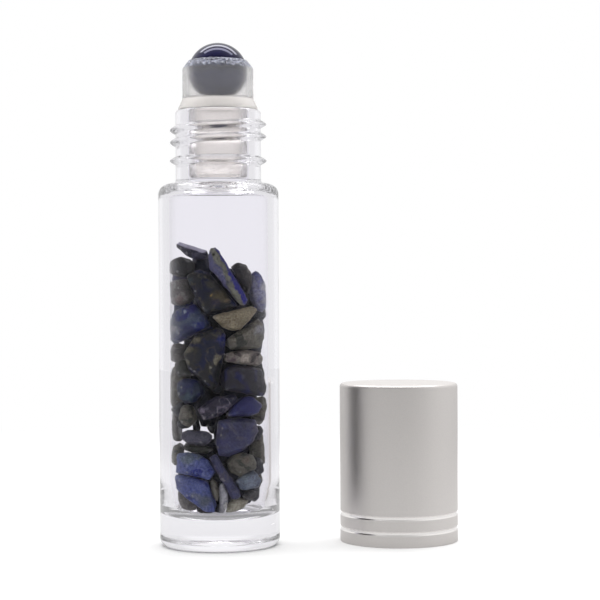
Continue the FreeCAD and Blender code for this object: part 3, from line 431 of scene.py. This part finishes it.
def makeCapShell():
    c = cap
    inner = c["radius"] - c["wall"]
    floorShare = 0.5 * c["ringFloor"] / c["ringWidth"]
    corners = [(inner, 0.0, c["rimRound"], 3), (c["radius"], 0.0, c["rimRound"], 3)]
    for height in c["rings"]:  # each ring is a shallow cut with sloping sides
        for share, depth in ((-0.5, 0.0), (-floorShare, c["ringDepth"]), (floorShare, c["ringDepth"]),
                             (0.5, 0.0)):
            corners.append((c["radius"] - depth, height + share * c["ringWidth"]))
    corners += [
        (c["radius"], c["height"], c["topRound"], 7),
        (0.0, c["height"]),
        (0.0, c["height"] - c["wall"]),
        (inner, c["height"] - c["wall"], c["underRound"], 4),
    ]
    piece = turnedPiece("capShell", corners, c["steps"], True, centre=(c["right"], c["back"]))
    piece.data.materials.append(makeSatinFinish())
    piece.data.materials.append(makeBrightCutFinish())
    makeActive(piece)
    bpy.ops.object.mode_set(mode="EDIT")
    bpy.ops.mesh.select_mode(type="FACE")
    bpy.ops.mesh.select_all(action="DESELECT")
    mesh = bmesh.from_edit_mesh(piece.data)
    for face in mesh.faces:  # the rings on the outer side are cut bright
        spot = face.calc_center_median() / mm
        around = math.hypot(spot.x - c["right"], spot.y - c["back"])
        inRing = any(abs(spot.z - height) < c["ringWidth"] / 2 for height in c["rings"])
        face.select_set(inRing and around > inner + c["wall"] / 4)
    bmesh.update_edit_mesh(piece.data)
    piece.active_material_index = 1
    bpy.ops.object.material_slot_assign()
    bpy.ops.object.mode_set(mode="OBJECT")
    finishPiece(piece, None, "cap", ["cap_shell"], c["smoothAngle"])
    print("cap shell:", len(piece.data.polygons), "faces")


# cap liner
liner = {
    "radius": 9.45, "bore": 8.22, "bottom": 0.4, "top": 26.1, "underside": 25.1, "sealInside": 2.2,
    "sealOutside": 3.2, "sealBottom": 22.85, "sealRound": 0.2, "sealFoot": 0.3, "boreRound": 0.6,
    "rimRound": 0.25, "footRound": 0.2, "topRound": 0.25, "steps": 128, "boreRow": 0.12, "smoothAngle": 40,
    "thread": {"startAngle": 144.0, "turns": 1.5, "pitch": 2.03, "startHeight": 5.415, "depth": 0.6,
               "halfWidth": 0.45, "fadeAngle": 25.0},
}


def makeLinerFinish():
    # White polypropylene, moulded: softly shining, with faint flow marks.
    material, tree = newMaterial("whitePolypropylene")
    place = addNode(tree, "TexCoord").outputs["Object"]
    flow = addNode(tree, "TexNoise", {"Scale": perMetre(2.5), "Detail": 3.0}, {"Vector": place})
    tint = addNode(tree, "Mix", rgba | {6: srgb("#efeeec"), 7: srgb("#e4e2df")}, {0: flow}).outputs[2]
    rough = addNode(tree, "MapRange", {"To Min": 0.32, "To Max": 0.48}, {"Value": flow})
    plastic = addNode(tree, "BsdfPrincipled", {"IOR": 1.49}, {"Base Color": tint, "Roughness": rough})
    addNode(tree, "OutputMaterial", links={"Surface": plastic})
    return material


def makeCapLiner():
    n = liner
    corners = [
        (0.0, n["underside"]),
        (n["sealInside"], n["underside"], n["sealRound"], 3),
        (n["sealInside"], n["sealBottom"], n["sealRound"], 3),
        (n["sealOutside"], n["sealBottom"], n["sealRound"], 3),
        (n["sealOutside"], n["underside"], n["sealFoot"], 3),
        (n["bore"], n["underside"], n["boreRound"], 4),
        (n["bore"], n["bottom"], n["rimRound"], 3),
        (n["radius"], n["bottom"], n["footRound"], 3),
        (n["radius"], n["top"], n["topRound"], 3),
        (0.0, n["top"]),
    ]
    low, high = n["bottom"] + n["rimRound"], n["underside"] - n["boreRound"]
    finer = [((n["bore"], high), (n["bore"], low), round((high - low) / n["boreRow"]))]
    piece = turnedPiece("capLiner", corners, n["steps"], False, finer)
    # the screw ridge stands in from the bore
    raiseRidges(piece, n["bore"], low, high, lambda angle, height: -screwRidge(angle, height, n["thread"]))
    makeActive(piece)
    bpy.ops.object.mode_set(mode="EDIT")
    bpy.ops.mesh.select_all(action="SELECT")
    bpy.ops.transform.translate(value=(cap["right"] * mm, cap["back"] * mm, 0))
    bpy.ops.object.mode_set(mode="OBJECT")
    finishPiece(piece, makeLinerFinish(), "cap", ["cap_liner"], n["smoothAngle"])
    print("cap liner:", len(piece.data.polygons), "faces")


# stones
stones = {
    "weld": 0.001, "voxel": 0.16, "coreVoxel": 0.22, "smoothing": 1, "smoothShare": 0.5,
    "lumpSize": 1.3, "lumpDepth": 0.3, "lumpMiddle": 0.1, "lumpDetail": 2, "glassGap": 0.04,
    "ragged": 0.0013,  # how far a spot's edge is pushed about, m
    "spotOuter": 1.2, "spotInner": 0.3,  # where a spot starts and is full, as shares of its size
    "seam": 0.25, "patchEdge": 0.08, "veinEdge": 0.016,  # soft edges: in mm, then as levels of their noise
}

# Each finish: its stones, then the stone's own colour, a second cloud, patches of another mineral and thin
# veins, then the shares of patches and veins. Spots are where one mineral shows on a stone of that finish:
# across and up in mm, size, colour.
stoneLooks = {
    "lapisBlue": {
        "nodes": ("front_stone_01", "front_stone_02", "back_stone_03", "back_stone_08"),
        "tints": ("#434d88", "#5a6496", "#2b3374", "#8f97bb"), "shares": (0.3, 0.3),
        "spots": ((-4.6, 15.1, 1.3, "#5f6b76"), (-3.0, 15.5, 0.8, "#626e78"), (-1.9, 8.2, 1.4, "#535a64"),
                  (-3.2, 9.0, 0.8, "#5a6172"))},
    "lapisDeep": {
        "nodes": ("front_stone_16",),
        "tints": ("#2f3066", "#252754", "#393c72", "#5f6290"), "shares": (0.35, 0.2)},
    "greyBlue": {
        "nodes": ("front_stone_32",),
        "tints": ("#686a90", "#7f7f95", "#565888", "#9c9caa"), "shares": (0.35, 0.3),
        "spots": ((7.2, 43.3, 0.9, "#9d9da4"), (6.9, 40.6, 0.7, "#7c7b88"))},
    "slateBlue": {
        "nodes": ("front_stone_24", "left_stone_05", "back_stone_06"),
        "tints": ("#2e3960", "#4a5361", "#1c2462", "#7d8798"), "shares": (0.45, 0.3),
        "spots": ((-4.0, 39.4, 1.1, "#2f2f66"), (-4.8, 35.8, 1.2, "#262a50"), (-3.9, 35.6, 0.8, "#20244a"),
                  (-5.6, 34.4, 0.9, "#44446c"), (-5.0, 38.9, 0.35, "#8a94a0"), (-3.6, 36.7, 0.4, "#5f6878"),
                  (-6.5, 35.9, 0.9, "#7d7f86"))},
    "nightBlue": {
        "nodes": ("front_stone_18",),
        "tints": ("#1d2740", "#2e3844", "#161d4a", "#5f6878"), "shares": (0.45, 0.3),
        "spots": ((-4.45, 25.1, 1.1, "#334350"), (-4.3, 27.2, 1.0, "#1f2750"))},
    "paleSlate": {
        "nodes": ("front_stone_08",),
        "tints": ("#586274", "#6b7484", "#454e64", "#a3aab2"), "shares": (0.4, 0.35),
        "spots": ((4.2, 11.8, 0.8, "#76828c"),)},
    "slateViolet": {
        "nodes": ("front_stone_03", "front_stone_14", "left_stone_06", "back_stone_01"),
        "tints": ("#3f4168", "#3c3c50", "#4d4b5e", "#6c6b88"), "shares": (0.4, 0.25),
        "spots": ((2.6, 21.4, 0.8, "#474a58"), (1.0, 17.6, 1.0, "#3d3d62"))},
    "paleSlab": {
        "nodes": ("front_stone_28",),
        # its face that looks up is painted paler, as if lit from above
        "tints": ("#2c2a3e", "#22212f", "#353345", "#5f5b6a"), "shares": (0.4, 0.25), "paintedTopLight": "#b0adc0"},
    "darkViolet": {
        "nodes": ("front_stone_19", "right_stone_04", "back_stone_09"),
        "tints": ("#28282f", "#35323c", "#1f2148", "#6a6672"), "shares": (0.4, 0.35)},
    "violetSlate": {
        "nodes": ("front_stone_13",),
        "tints": ("#494a54", "#4e4c5a", "#343650", "#8a8794"), "shares": (0.35, 0.35)},
    "streaked": {
        "nodes": ("front_stone_17", "back_stone_04"),
        "tints": ("#302d3a", "#24243a", "#655e6c", "#968e98"), "shares": (0.3, 0.7),
        "spots": ((-2.6, 23.2, 0.6, "#6d6674"), (-3.4, 24.3, 0.6, "#2e2e5c"))},
    "oliveGrey": {
        "nodes": ("front_stone_04", "front_stone_09", "front_stone_15", "front_stone_22", "left_stone_02",
                  "left_stone_04", "right_stone_01", "right_stone_02", "right_stone_06", "back_stone_05"),
        "tints": ("#57564e", "#6b675d", "#3b3c37", "#8e887a"), "shares": (0.4, 0.35),
        "spots": ((6.5, 35.9, 0.9, "#7d7c84"), (4.4, 14.8, 0.7, "#665d53"), (2.8, 15.6, 0.6, "#656050"))},
    "darkOlive": {
        "nodes": ("front_stone_12", "front_stone_25"),
        "tints": ("#2b2d29", "#31322c", "#262722", "#55524a"), "shares": (0.4, 0.3)},
    "oliveNavy": {
        "nodes": ("front_stone_21", "front_stone_26", "back_stone_10"),
        "tints": ("#2a2925", "#1d1f28", "#14183a", "#6c654f"), "shares": (0.5, 0.4),
        "spots": ((-0.9, 32.7, 1.9, "#1d2135"), (0.96, 34.2, 1.2, "#242c6c"), (1.3, 35.0, 0.8, "#232a68"),
                  (-4.8, 32.8, 1.0, "#65604f"), (-3.6, 34.4, 0.8, "#6b6655"), (-0.1, 31.1, 0.7, "#7d7866"),
                  (0.5, 31.6, 0.6, "#7a7462"), (-1.06, 29.8, 0.4, "#85847a"), (-4.6, 30.7, 0.6, "#6d6a5c"),
                  (-2.9, 41.6, 1.9, "#141730"), (0.5, 41.4, 1.4, "#4c4432"), (-0.88, 41.74, 0.3, "#7d693c"),
                  (1.66, 40.65, 0.5, "#665b47"), (-4.3, 44.0, 0.9, "#36424a"), (-0.95, 43.4, 1.0, "#38372f"),
                  (-0.13, 40.2, 0.9, "#2a263a"), (-1.8, 38.85, 0.7, "#41464a"))},
    "banded": {
        "nodes": ("front_stone_27",),
        "tints": ("#66675e", "#77776c", "#54555a", "#8b8a7e"), "shares": (0.35, 0.3),
        "spots": ((-0.34, 48.2, 0.35, "#33332c"),),
        # two seams: the way across the stone, its middle that way, and where each seam starts from there
        "bands": {"way": (0.892, 0.0, 0.451), "middle": 21.65,
                  "seams": ((0.3, "#33317c"), (-0.42, "#5c5c7c"))}},
    "cream": {
        # the cream stone is drawn darker, with darker cloud and patches: partly its own tone, partly painted
        # shade
        "nodes": ("front_stone_23",),
        "tints": ("#988f78", "#786f5b", "#7d7461", "#6e6655"), "shares": (0.35, 0.3),
        "spots": ((2.8, 37.7, 0.25, "#6b6450"), (1.8, 37.2, 0.2, "#6b6450"))},
    "taupe": {
        "nodes": ("front_stone_20", "back_stone_02"),
        "tints": ("#877f77", "#6b645f", "#3f3838", "#a8a196"), "shares": (0.35, 0.35),
        "spots": ((4.4, 31.5, 0.9, "#a79f92"), (2.5, 31.35, 0.45, "#43353d"), (1.96, 31.6, 0.3, "#4a3d44"),
                  (3.6, 30.0, 0.5, "#8d8288"))},
    "paleGrey": {
        "nodes": ("front_stone_05",),
        "tints": ("#a9a9ae", "#8f9095", "#bdbdb8", "#c8c8c4"), "shares": (0.3, 0.2)},
    "paleOlive": {
        "nodes": ("front_stone_06",),
        "tints": ("#a39f90", "#8a8778", "#b5b3a0", "#77736a"), "shares": (0.3, 0.3)},
    "brownGrey": {
        "nodes": ("front_stone_11", "front_stone_29", "right_stone_03", "right_stone_05"),
        "tints": ("#262424", "#1f1f25", "#332e2d", "#5a534f"), "shares": (0.3, 0.3),
        "spots": ((-6.4, 44.6, 0.8, "#4c443f"),)},
    "midGrey": {
        "nodes": ("front_stone_07", "front_stone_31"),
        "tints": ("#454243", "#38383c", "#56514f", "#6f6965"), "shares": (0.3, 0.3),
        "spots": ((5.0, 45.4, 0.7, "#6b6864"),)},
    "warmGrey": {
        "nodes": ("front_stone_10", "front_stone_30", "left_stone_01", "left_stone_03", "back_stone_07"),
        "tints": ("#585452", "#4a4846", "#6b6765", "#807a74"), "shares": (0.35, 0.3),
        "spots": ((-5.8, 41.0, 0.8, "#6b5a57"),)},
    "nightSlate": {
        "nodes": ("core_stones",),
        "tints": ("#191a24", "#222434", "#12142a", "#34353e"), "shares": (0.4, 0.2)},
}


def makeStoneFinish(name, looks):
    # Lazurite and sodalite in grey host rock, tumbled: clouded colour, a painted highlight on the sharp
    # edges, a soft satin.
    material, tree = newMaterial(name + "Stone")
    mainTint, cloudTint, patchTint, veinTint = (srgb(tint) for tint in looks["tints"])
    patchShare, veinShare = looks["shares"]
    place = addNode(tree, "TexCoord").outputs["Object"]
    clouds = addNode(tree, "TexNoise", {"Scale": perMetre(2.2), "Detail": 6.0, "Roughness": 0.6,
                                        "Distortion": 0.6}, {"Vector": place})
    patches = addNode(tree, "TexNoise", {"Scale": perMetre(3.0), "Detail": 4.0, "Distortion": 1.2},
                      {"Vector": place})
    grain = addNode(tree, "TexNoise", {"Scale": perMetre(0.3), "Detail": 3.0}, {"Vector": place})
    # a pushed-about position, so that spots and veins have ragged edges
    ragged = addNode(tree, "Mix", rgba | {"blend_type": "LINEAR_LIGHT", 0: stones["ragged"]},
                     {6: place, 7: clouds.outputs["Color"]}).outputs[2]
    mixing = addNode(tree, "MapRange", {"From Min": 0.35, "From Max": 0.65}, {"Value": clouds})
    colour = addNode(tree, "Mix", rgba | {6: mainTint, 7: cloudTint}, {0: mixing}).outputs[2]
    edge = 0.5 + 0.25 * (0.5 - patchShare)  # the level of the noise above which patches show
    patch = addNode(tree, "MapRange", {"From Min": edge, "From Max": edge + stones["patchEdge"]},
                    {"Value": patches})
    colour = addNode(tree, "Mix", rgba | {7: patchTint}, {0: patch, 6: colour}).outputs[2]
    if "bands" in looks:  # two seams of blue run along the stone's edges
        bands = looks["bands"]
        way = addNode(tree, "VectorMath", {"operation": "DOT_PRODUCT", 1: bands["way"]},
                      {0: ragged}).outputs["Value"]
        for start, tint in bands["seams"]:
            low = (bands["middle"] + start) * mm
            high = low + math.copysign(stones["seam"], start) * mm
            seam = addNode(tree, "MapRange", {"From Min": low, "From Max": high}, {"Value": way})
            colour = addNode(tree, "Mix", rgba | {7: srgb(tint)}, {0: seam, 6: colour}).outputs[2]
    flat = addNode(tree, "VectorMath", {"operation": "MULTIPLY", 1: (1.0, 0.0, 1.0)}, {0: ragged})
    for across, up, size, tint in looks.get("spots", ()):
        middle = (across * mm, 0.0, up * mm)
        outer, full = stones["spotOuter"] * size * mm, stones["spotInner"] * size * mm
        away = addNode(tree, "VectorMath", {"operation": "DISTANCE", 1: middle}, {0: flat})
        share = addNode(tree, "MapRange", smooth | {"From Min": outer, "From Max": full, "To Max": 0.9},
                        {"Value": away.outputs["Value"]})
        colour = addNode(tree, "Mix", rgba | {7: srgb(tint)}, {0: share, 6: colour}).outputs[2]
    # veins lie where a slow pattern crosses its middle value
    slow = addNode(tree, "TexNoise", {"Scale": perMetre(4.0), "Detail": 3.0}, {"Vector": ragged})
    off = addNode(tree, "Math", {"operation": "SUBTRACT", 1: 0.5}, {0: slow})
    near = addNode(tree, "Math", {"operation": "ABSOLUTE"}, {0: off})
    vein = addNode(tree, "MapRange", {"From Max": stones["veinEdge"], "To Min": veinShare, "To Max": 0.0},
                   {"Value": near})
    colour = addNode(tree, "Mix", rgba | {7: veinTint}, {0: vein, 6: colour}).outputs[2]
    speckle = addNode(tree, "MapRange", {"From Min": 0.3, "From Max": 0.7, "To Min": 0.62, "To Max": 1.3},
                      {"Value": grain})
    colour = addNode(tree, "Mix", rgba | {"blend_type": "MULTIPLY", 0: 1.0},
                     {6: colour, 7: speckle}).outputs[2]
    shape = addNode(tree, "NewGeometry")
    # painted highlight: the sharp edges are painted paler, where they would catch the light
    paintedEdgeHighlight = addNode(tree, "MapRange", {"From Min": 0.53, "From Max": 0.62, "To Max": 0.4},
                   {"Value": shape.outputs["Pointiness"]})
    colour = addNode(tree, "Mix", rgba | {7: srgb("#a3a2a2")}, {0: paintedEdgeHighlight, 6: colour}).outputs[2]
    if "paintedTopLight" in looks:  # painted light: the face that looks up is painted paler, as if lit from above
        facing = addNode(tree, "SeparateXYZ", links={"Vector": shape.outputs["Normal"]})
        paintedTopLight = addNode(tree, "MapRange", {"From Min": 0.3, "From Max": 0.6, "To Max": 0.9},
                        {"Value": facing.outputs["Z"]})
        colour = addNode(tree, "Mix", rgba | {7: srgb(looks["paintedTopLight"])}, {0: paintedTopLight, 6: colour}).outputs[2]
    rough = addNode(tree, "MapRange", {"To Min": 0.32, "To Max": 0.52}, {"Value": clouds})
    bump = addNode(tree, "Bump", {"Strength": 0.4, "Distance": 0.04 * mm}, {"Height": grain})
    stone = addNode(tree, "BsdfPrincipled", {"IOR": 1.5, "Specular IOR Level": 0.22},
                    {"Base Color": colour, "Roughness": rough, "Normal": bump})
    addNode(tree, "OutputMaterial", links={"Surface": stone})
    return material


def keepInGlass(spot):  # moves a point, in mm, back inside the cavity where the stone's lumps pass its wall
    gap, taper, high = stones["glassGap"], bottle["bowlTaper"], bottle["bowlHeight"]
    inner = bottle["radius"] - bottle["wall"]
    around = math.hypot(spot.x, spot.y)
    spot.z = max(spot.z, bottle["base"] + gap)
    above = spot.z - bottle["base"]
    limit = inner - gap - taper * max(0.0, 1 - above / high)
    slope = math.hypot(taper, high)
    roundUp = bottle["bowlRound"]
    roundAcross = inner - taper - roundUp * (slope - taper) / high
    if above < roundUp * (1 - taper / slope) and around > roundAcross:  # within the rounding of the bowl
        drop = min(roundUp - above, roundUp - gap)
        limit = min(limit, roundAcross + math.sqrt((roundUp - gap) ** 2 - drop ** 2))
    if around > limit:
        spot.x, spot.y = spot.x * limit / around, spot.y * limit / around
    return spot


def makeStone(node, material, lumps):
    name = "".join(part.capitalize() if k else part for k, part in enumerate(node.split("_")))
    piece = bpy.data.objects.new(name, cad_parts[node].data.copy())
    bpy.context.scene.collection.objects.link(piece)
    piece.data.name = name
    piece.data.materials.clear()
    makeActive(piece)
    bpy.ops.object.mode_set(mode="EDIT")
    bpy.ops.mesh.select_all(action="SELECT")
    bpy.ops.mesh.remove_doubles(threshold=stones["weld"] * mm)
    bpy.ops.object.mode_set(mode="OBJECT")
    remesh = piece.modifiers.new("Even", "REMESH")
    remesh.mode = "VOXEL"
    remesh.voxel_size = stones["coreVoxel" if node == "core_stones" else "voxel"] * mm
    tumble = piece.modifiers.new("Tumble", "SMOOTH")
    tumble.factor, tumble.iterations = stones["smoothShare"], stones["smoothing"]
    swell = piece.modifiers.new("Lumps", "DISPLACE")
    swell.texture, swell.texture_coords = lumps, "LOCAL"
    swell.strength, swell.mid_level = stones["lumpDepth"] * mm, stones["lumpMiddle"]
    for modifier in ("Even", "Tumble", "Lumps"):
        bpy.ops.object.modifier_apply(modifier=modifier)
    for vertex in piece.data.vertices:
        vertex.co = keepInGlass(vertex.co / mm) * mm
    finishPiece(piece, material, "bottle", [node])
    return len(piece.data.polygons)


def makeStones():
    lumps = bpy.data.textures.new("stoneLumps", "CLOUDS")
    lumps.noise_scale = stones["lumpSize"] * mm
    lumps.noise_depth = stones["lumpDetail"]
    faces = 0
    for name, looks in stoneLooks.items():
        material = makeStoneFinish(name, looks)
        for node in looks["nodes"]:
            faces += makeStone(node, material, lumps)
    print("stones:", faces, "faces")


# studio
studio = {
    "strips": ((0.035, 0.326), (0.133, 0.29)),  # the two light strips overhead: back from the axis and up, m
    "stripSize": (0.36, 0.055), "stripPower": 0.33, "stripAim": (0.012, 0.0, 0.04),
    # the tent's open front: which way it faces, how far it spreads, and how dim it is, low and high
    "frontTurn": -8.0, "frontSpan": (-0.1, 0.9), "frontRise": (0.45, 0.8),
    "frontLow": 0.57, "frontHigh": 0.05,
    "backSpan": (0.6, 0.95), "backLevel": 0.84,  # the tent straight behind, as mirrors show it
    "behindFrom": 0.85, "behindTo": 0.97, "sideInside": 0.86,  # glass shows white behind, dimmer at the sides
    "darkRise": 14.0, "darkInside": 6.0, "darkOutside": 16.0, "darkLevel": 0.25,  # the camera, seen in glass
    "roomSpan": (-0.2, 1.0), "roomLow": 0.36, "roomHigh": 1.65,  # plain light for colours, low and high
    "floorSides": 96, "floorReach": 0.6,
    "shadeEnd": 0.06, "fadeStart": 0.1, "fadeEnd": 0.24,  # where the floor's shade ends and it turns white, m
    "eyeGlow": 0.15, "eyeLevel": 0.38,  # how much the near floor glows for the eye, and how brightly
    "floorGlow": 0.62, "floorMirrored": 0.55, "floorInside": 0.55,  # the same for mirrors, and through glass
    "card": "#f2f2f2",
}


def makeWorld():
    s = studio
    world = bpy.data.worlds.new("lightTent")
    bpy.context.scene.world = world
    world.use_nodes = True
    world.cycles.sampling_method = "NONE"  # its level depends on the ray that finds it
    tree = world.node_tree
    tree.nodes.clear()
    # a white tent with a dim open front, as mirrors and glass show it
    place = addNode(tree, "TexCoord").outputs["Generated"]
    turn = math.radians(s["frontTurn"])
    ahead = (math.sin(turn), -math.cos(turn), 0.0)
    front = addNode(tree, "VectorMath", {"operation": "DOT_PRODUCT", 1: ahead}, {0: place}).outputs["Value"]
    opening = addNode(tree, "MapRange", smooth | {"From Min": s["frontSpan"][0],
                                                  "From Max": s["frontSpan"][1]}, {"Value": front})
    split = addNode(tree, "SeparateXYZ", links={"Vector": place})
    dim = addNode(tree, "MapRange", smooth | {"From Min": s["frontRise"][0], "From Max": s["frontRise"][1],
                                              "To Min": s["frontLow"], "To Max": s["frontHigh"]},
                  {"Value": split.outputs["Z"]})
    back = addNode(tree, "MapRange", smooth | {"From Min": s["backSpan"][0], "From Max": s["backSpan"][1],
                                               "To Min": 1.0, "To Max": s["backLevel"]},
                   {"Value": split.outputs["Y"]})
    tent = addNode(tree, "Mix", links={0: opening, 2: back, 3: dim})
    # inside the glass the tent is white behind, pale at the sides, and shows the dark camera
    behind = addNode(tree, "MapRange", smooth | {"From Min": s["behindFrom"], "From Max": s["behindTo"],
                                                 "To Min": s["sideInside"], "To Max": 1.0},
                     {"Value": split.outputs["Y"]})
    rise = math.radians(s["darkRise"])
    viewer = (0.0, -math.cos(rise), math.sin(rise))
    toward = addNode(tree, "VectorMath", {"operation": "DOT_PRODUCT", 1: viewer}, {0: place}).outputs["Value"]
    dark = addNode(tree, "MapRange", smooth | {"From Min": math.cos(math.radians(s["darkOutside"])),
                                               "From Max": math.cos(math.radians(s["darkInside"])),
                                               "To Max": s["darkLevel"]}, {"Value": toward, "To Min": behind})
    room = addNode(tree, "MapRange", {"From Min": s["roomSpan"][0], "From Max": s["roomSpan"][1],
                                      "To Min": s["roomLow"], "To Max": s["roomHigh"]},
                   {"Value": split.outputs["Z"]})
    ray = addNode(tree, "LightPath").outputs
    lit = addNode(tree, "Math", {"operation": "MINIMUM", 1: 1.0}, {0: ray["Diffuse Depth"]})
    inside = addNode(tree, "Math", {"operation": "MINIMUM", 1: 1.0}, {0: ray["Transmission Depth"]})
    mirrored = addNode(tree, "Mix", links={0: inside, 2: tent, 3: dark})
    level = addNode(tree, "Mix", links={0: lit, 2: mirrored, 3: room})
    light = addNode(tree, "Background", {"Color": (1, 1, 1, 1)}, {"Strength": level})
    white = addNode(tree, "Background", {"Color": (1, 1, 1, 1), "Strength": 1.0})
    seen = addNode(tree, "MixShader", links={0: ray["Is Camera Ray"], 1: light, 2: white})
    addNode(tree, "OutputWorld", links={"Surface": seen})


def makeLights():
    for number, (back, up) in enumerate(studio["strips"], start=1):
        light = bpy.data.lights.new(f"stripLight{number}", "AREA")
        light.shape = "RECTANGLE"
        light.size, light.size_y = studio["stripSize"]
        light.energy = studio["stripPower"]
        lamp = bpy.data.objects.new(f"stripLight{number}", light)
        bpy.context.scene.collection.objects.link(lamp)
        aim = Vector(studio["stripAim"])
        lamp.location = (aim.x, back, up)
        lamp.rotation_euler = (aim - lamp.location).to_track_quat("-Z", "Y").to_euler()


def makeFloor():
    s = studio
    deselectAll()
    bpy.ops.mesh.primitive_circle_add(vertices=s["floorSides"], radius=s["floorReach"], fill_type="NGON",
                                      location=(0, 0, 0))
    floor = bpy.context.object
    floor.name = "floor"
    # White card. It is lit and shaded like any other, and glows a little for the eye, the glass and the
    # metal, so that it meets the white behind it without an edge.
    material, tree = newMaterial("whiteCard")
    place = addNode(tree, "TexCoord").outputs["Object"]
    away = addNode(tree, "VectorMath", {"operation": "LENGTH"}, {0: place}).outputs["Value"]
    far = addNode(tree, "MapRange", smooth | {"From Min": s["fadeStart"], "From Max": s["fadeEnd"]},
                  {"Value": away})
    ray = addNode(tree, "LightPath").outputs
    mirrored = addNode(tree, "Math", {"operation": "MAXIMUM"},
                       {0: ray["Is Glossy Ray"], 1: ray["Is Transmission Ray"]})
    eye = addNode(tree, "Math", {"operation": "MAXIMUM"}, {0: ray["Is Camera Ray"], 1: mirrored})
    seen = addNode(tree, "Math", {"operation": "SUBTRACT", "use_clamp": True},
                   {0: eye, 1: ray["Diffuse Depth"]})
    near = addNode(tree, "Mix", {2: s["floorGlow"], 3: s["eyeGlow"]}, {0: ray["Is Camera Ray"]})
    share = addNode(tree, "MapRange", {"To Max": 1.0}, {"Value": far, "To Min": near})
    glow = addNode(tree, "Math", {"operation": "MULTIPLY"}, {0: share, 1: seen})
    outside = addNode(tree, "Math", {"operation": "SUBTRACT", "use_clamp": True},
                      {0: ray["Is Glossy Ray"], 1: ray["Transmission Depth"]})
    bright = addNode(tree, "MapRange", {"From Min": s["shadeEnd"], "From Max": s["fadeStart"],
                                        "To Min": s["eyeLevel"], "To Max": 1.0}, {"Value": away})
    direct = addNode(tree, "Mix", {3: s["floorMirrored"]}, {0: outside, 2: bright})
    inside = addNode(tree, "Math", {"operation": "MINIMUM", 1: 1.0}, {0: ray["Transmission Depth"]})
    # through the glass it has the tent's own levels far off, and is dimmer close by
    way = addNode(tree, "VectorMath", {"operation": "NORMALIZE"}, {0: place})
    split = addNode(tree, "SeparateXYZ", links={"Vector": way})
    behind = addNode(tree, "MapRange", smooth | {"From Min": s["behindFrom"], "From Max": s["behindTo"],
                                                 "To Min": s["sideInside"], "To Max": 1.0},
                     {"Value": split.outputs["Y"]})
    through = addNode(tree, "Mix", {2: s["floorInside"]}, {0: far, 3: behind})
    level = addNode(tree, "Mix", links={0: inside, 2: direct, 3: through})
    card = addNode(tree, "BsdfDiffuse", {"Color": srgb(s["card"])})
    shine = addNode(tree, "Emission", {"Color": (1, 1, 1, 1)}, {"Strength": level})
    both = addNode(tree, "MixShader", links={0: glow, 1: card, 2: shine})
    addNode(tree, "OutputMaterial", links={"Surface": both})
    floor.data.materials.append(material)


# camera: its place in mm, its turns in degrees, its near and far limits in m
lens = {"place": (13.5, -290.0, 43.5), "down": 0.55, "roll": 0.27, "focal": 104.4, "sensor": 36.0,
        "nearest": 0.01, "farthest": 10.0, "bounces": 32}


def makeCamera():
    data = bpy.data.cameras.new("camera")
    data.lens, data.sensor_width = lens["focal"], lens["sensor"]
    data.clip_start, data.clip_end = lens["nearest"], lens["farthest"]
    camera = bpy.data.objects.new("camera", data)
    bpy.context.scene.collection.objects.link(camera)
    camera.location = Vector(lens["place"]) * mm
    level = Matrix.Rotation(math.radians(90 - lens["down"]), 4, "X")
    camera.rotation_euler = (level @ Matrix.Rotation(math.radians(-lens["roll"]), 4, "Z")).to_euler()
    bpy.context.scene.camera = camera


makeCamera()
makeWorld()
makeLights()
makeFloor()
print("studio ready")
makeGlassBottle()
makeRollerHousing()
makeRollerBall()
makeCapShell()
makeCapLiner()
makeStones()

bpy.context.scene.view_settings.view_transform = "Standard"
for kind in ("max_bounces", "glossy_bounces", "transmission_bounces"):  # light turns often in thick glass
    setattr(bpy.context.scene.cycles, kind, lens["bounces"])
deselectAll()
bpy.context.view_layer.update()
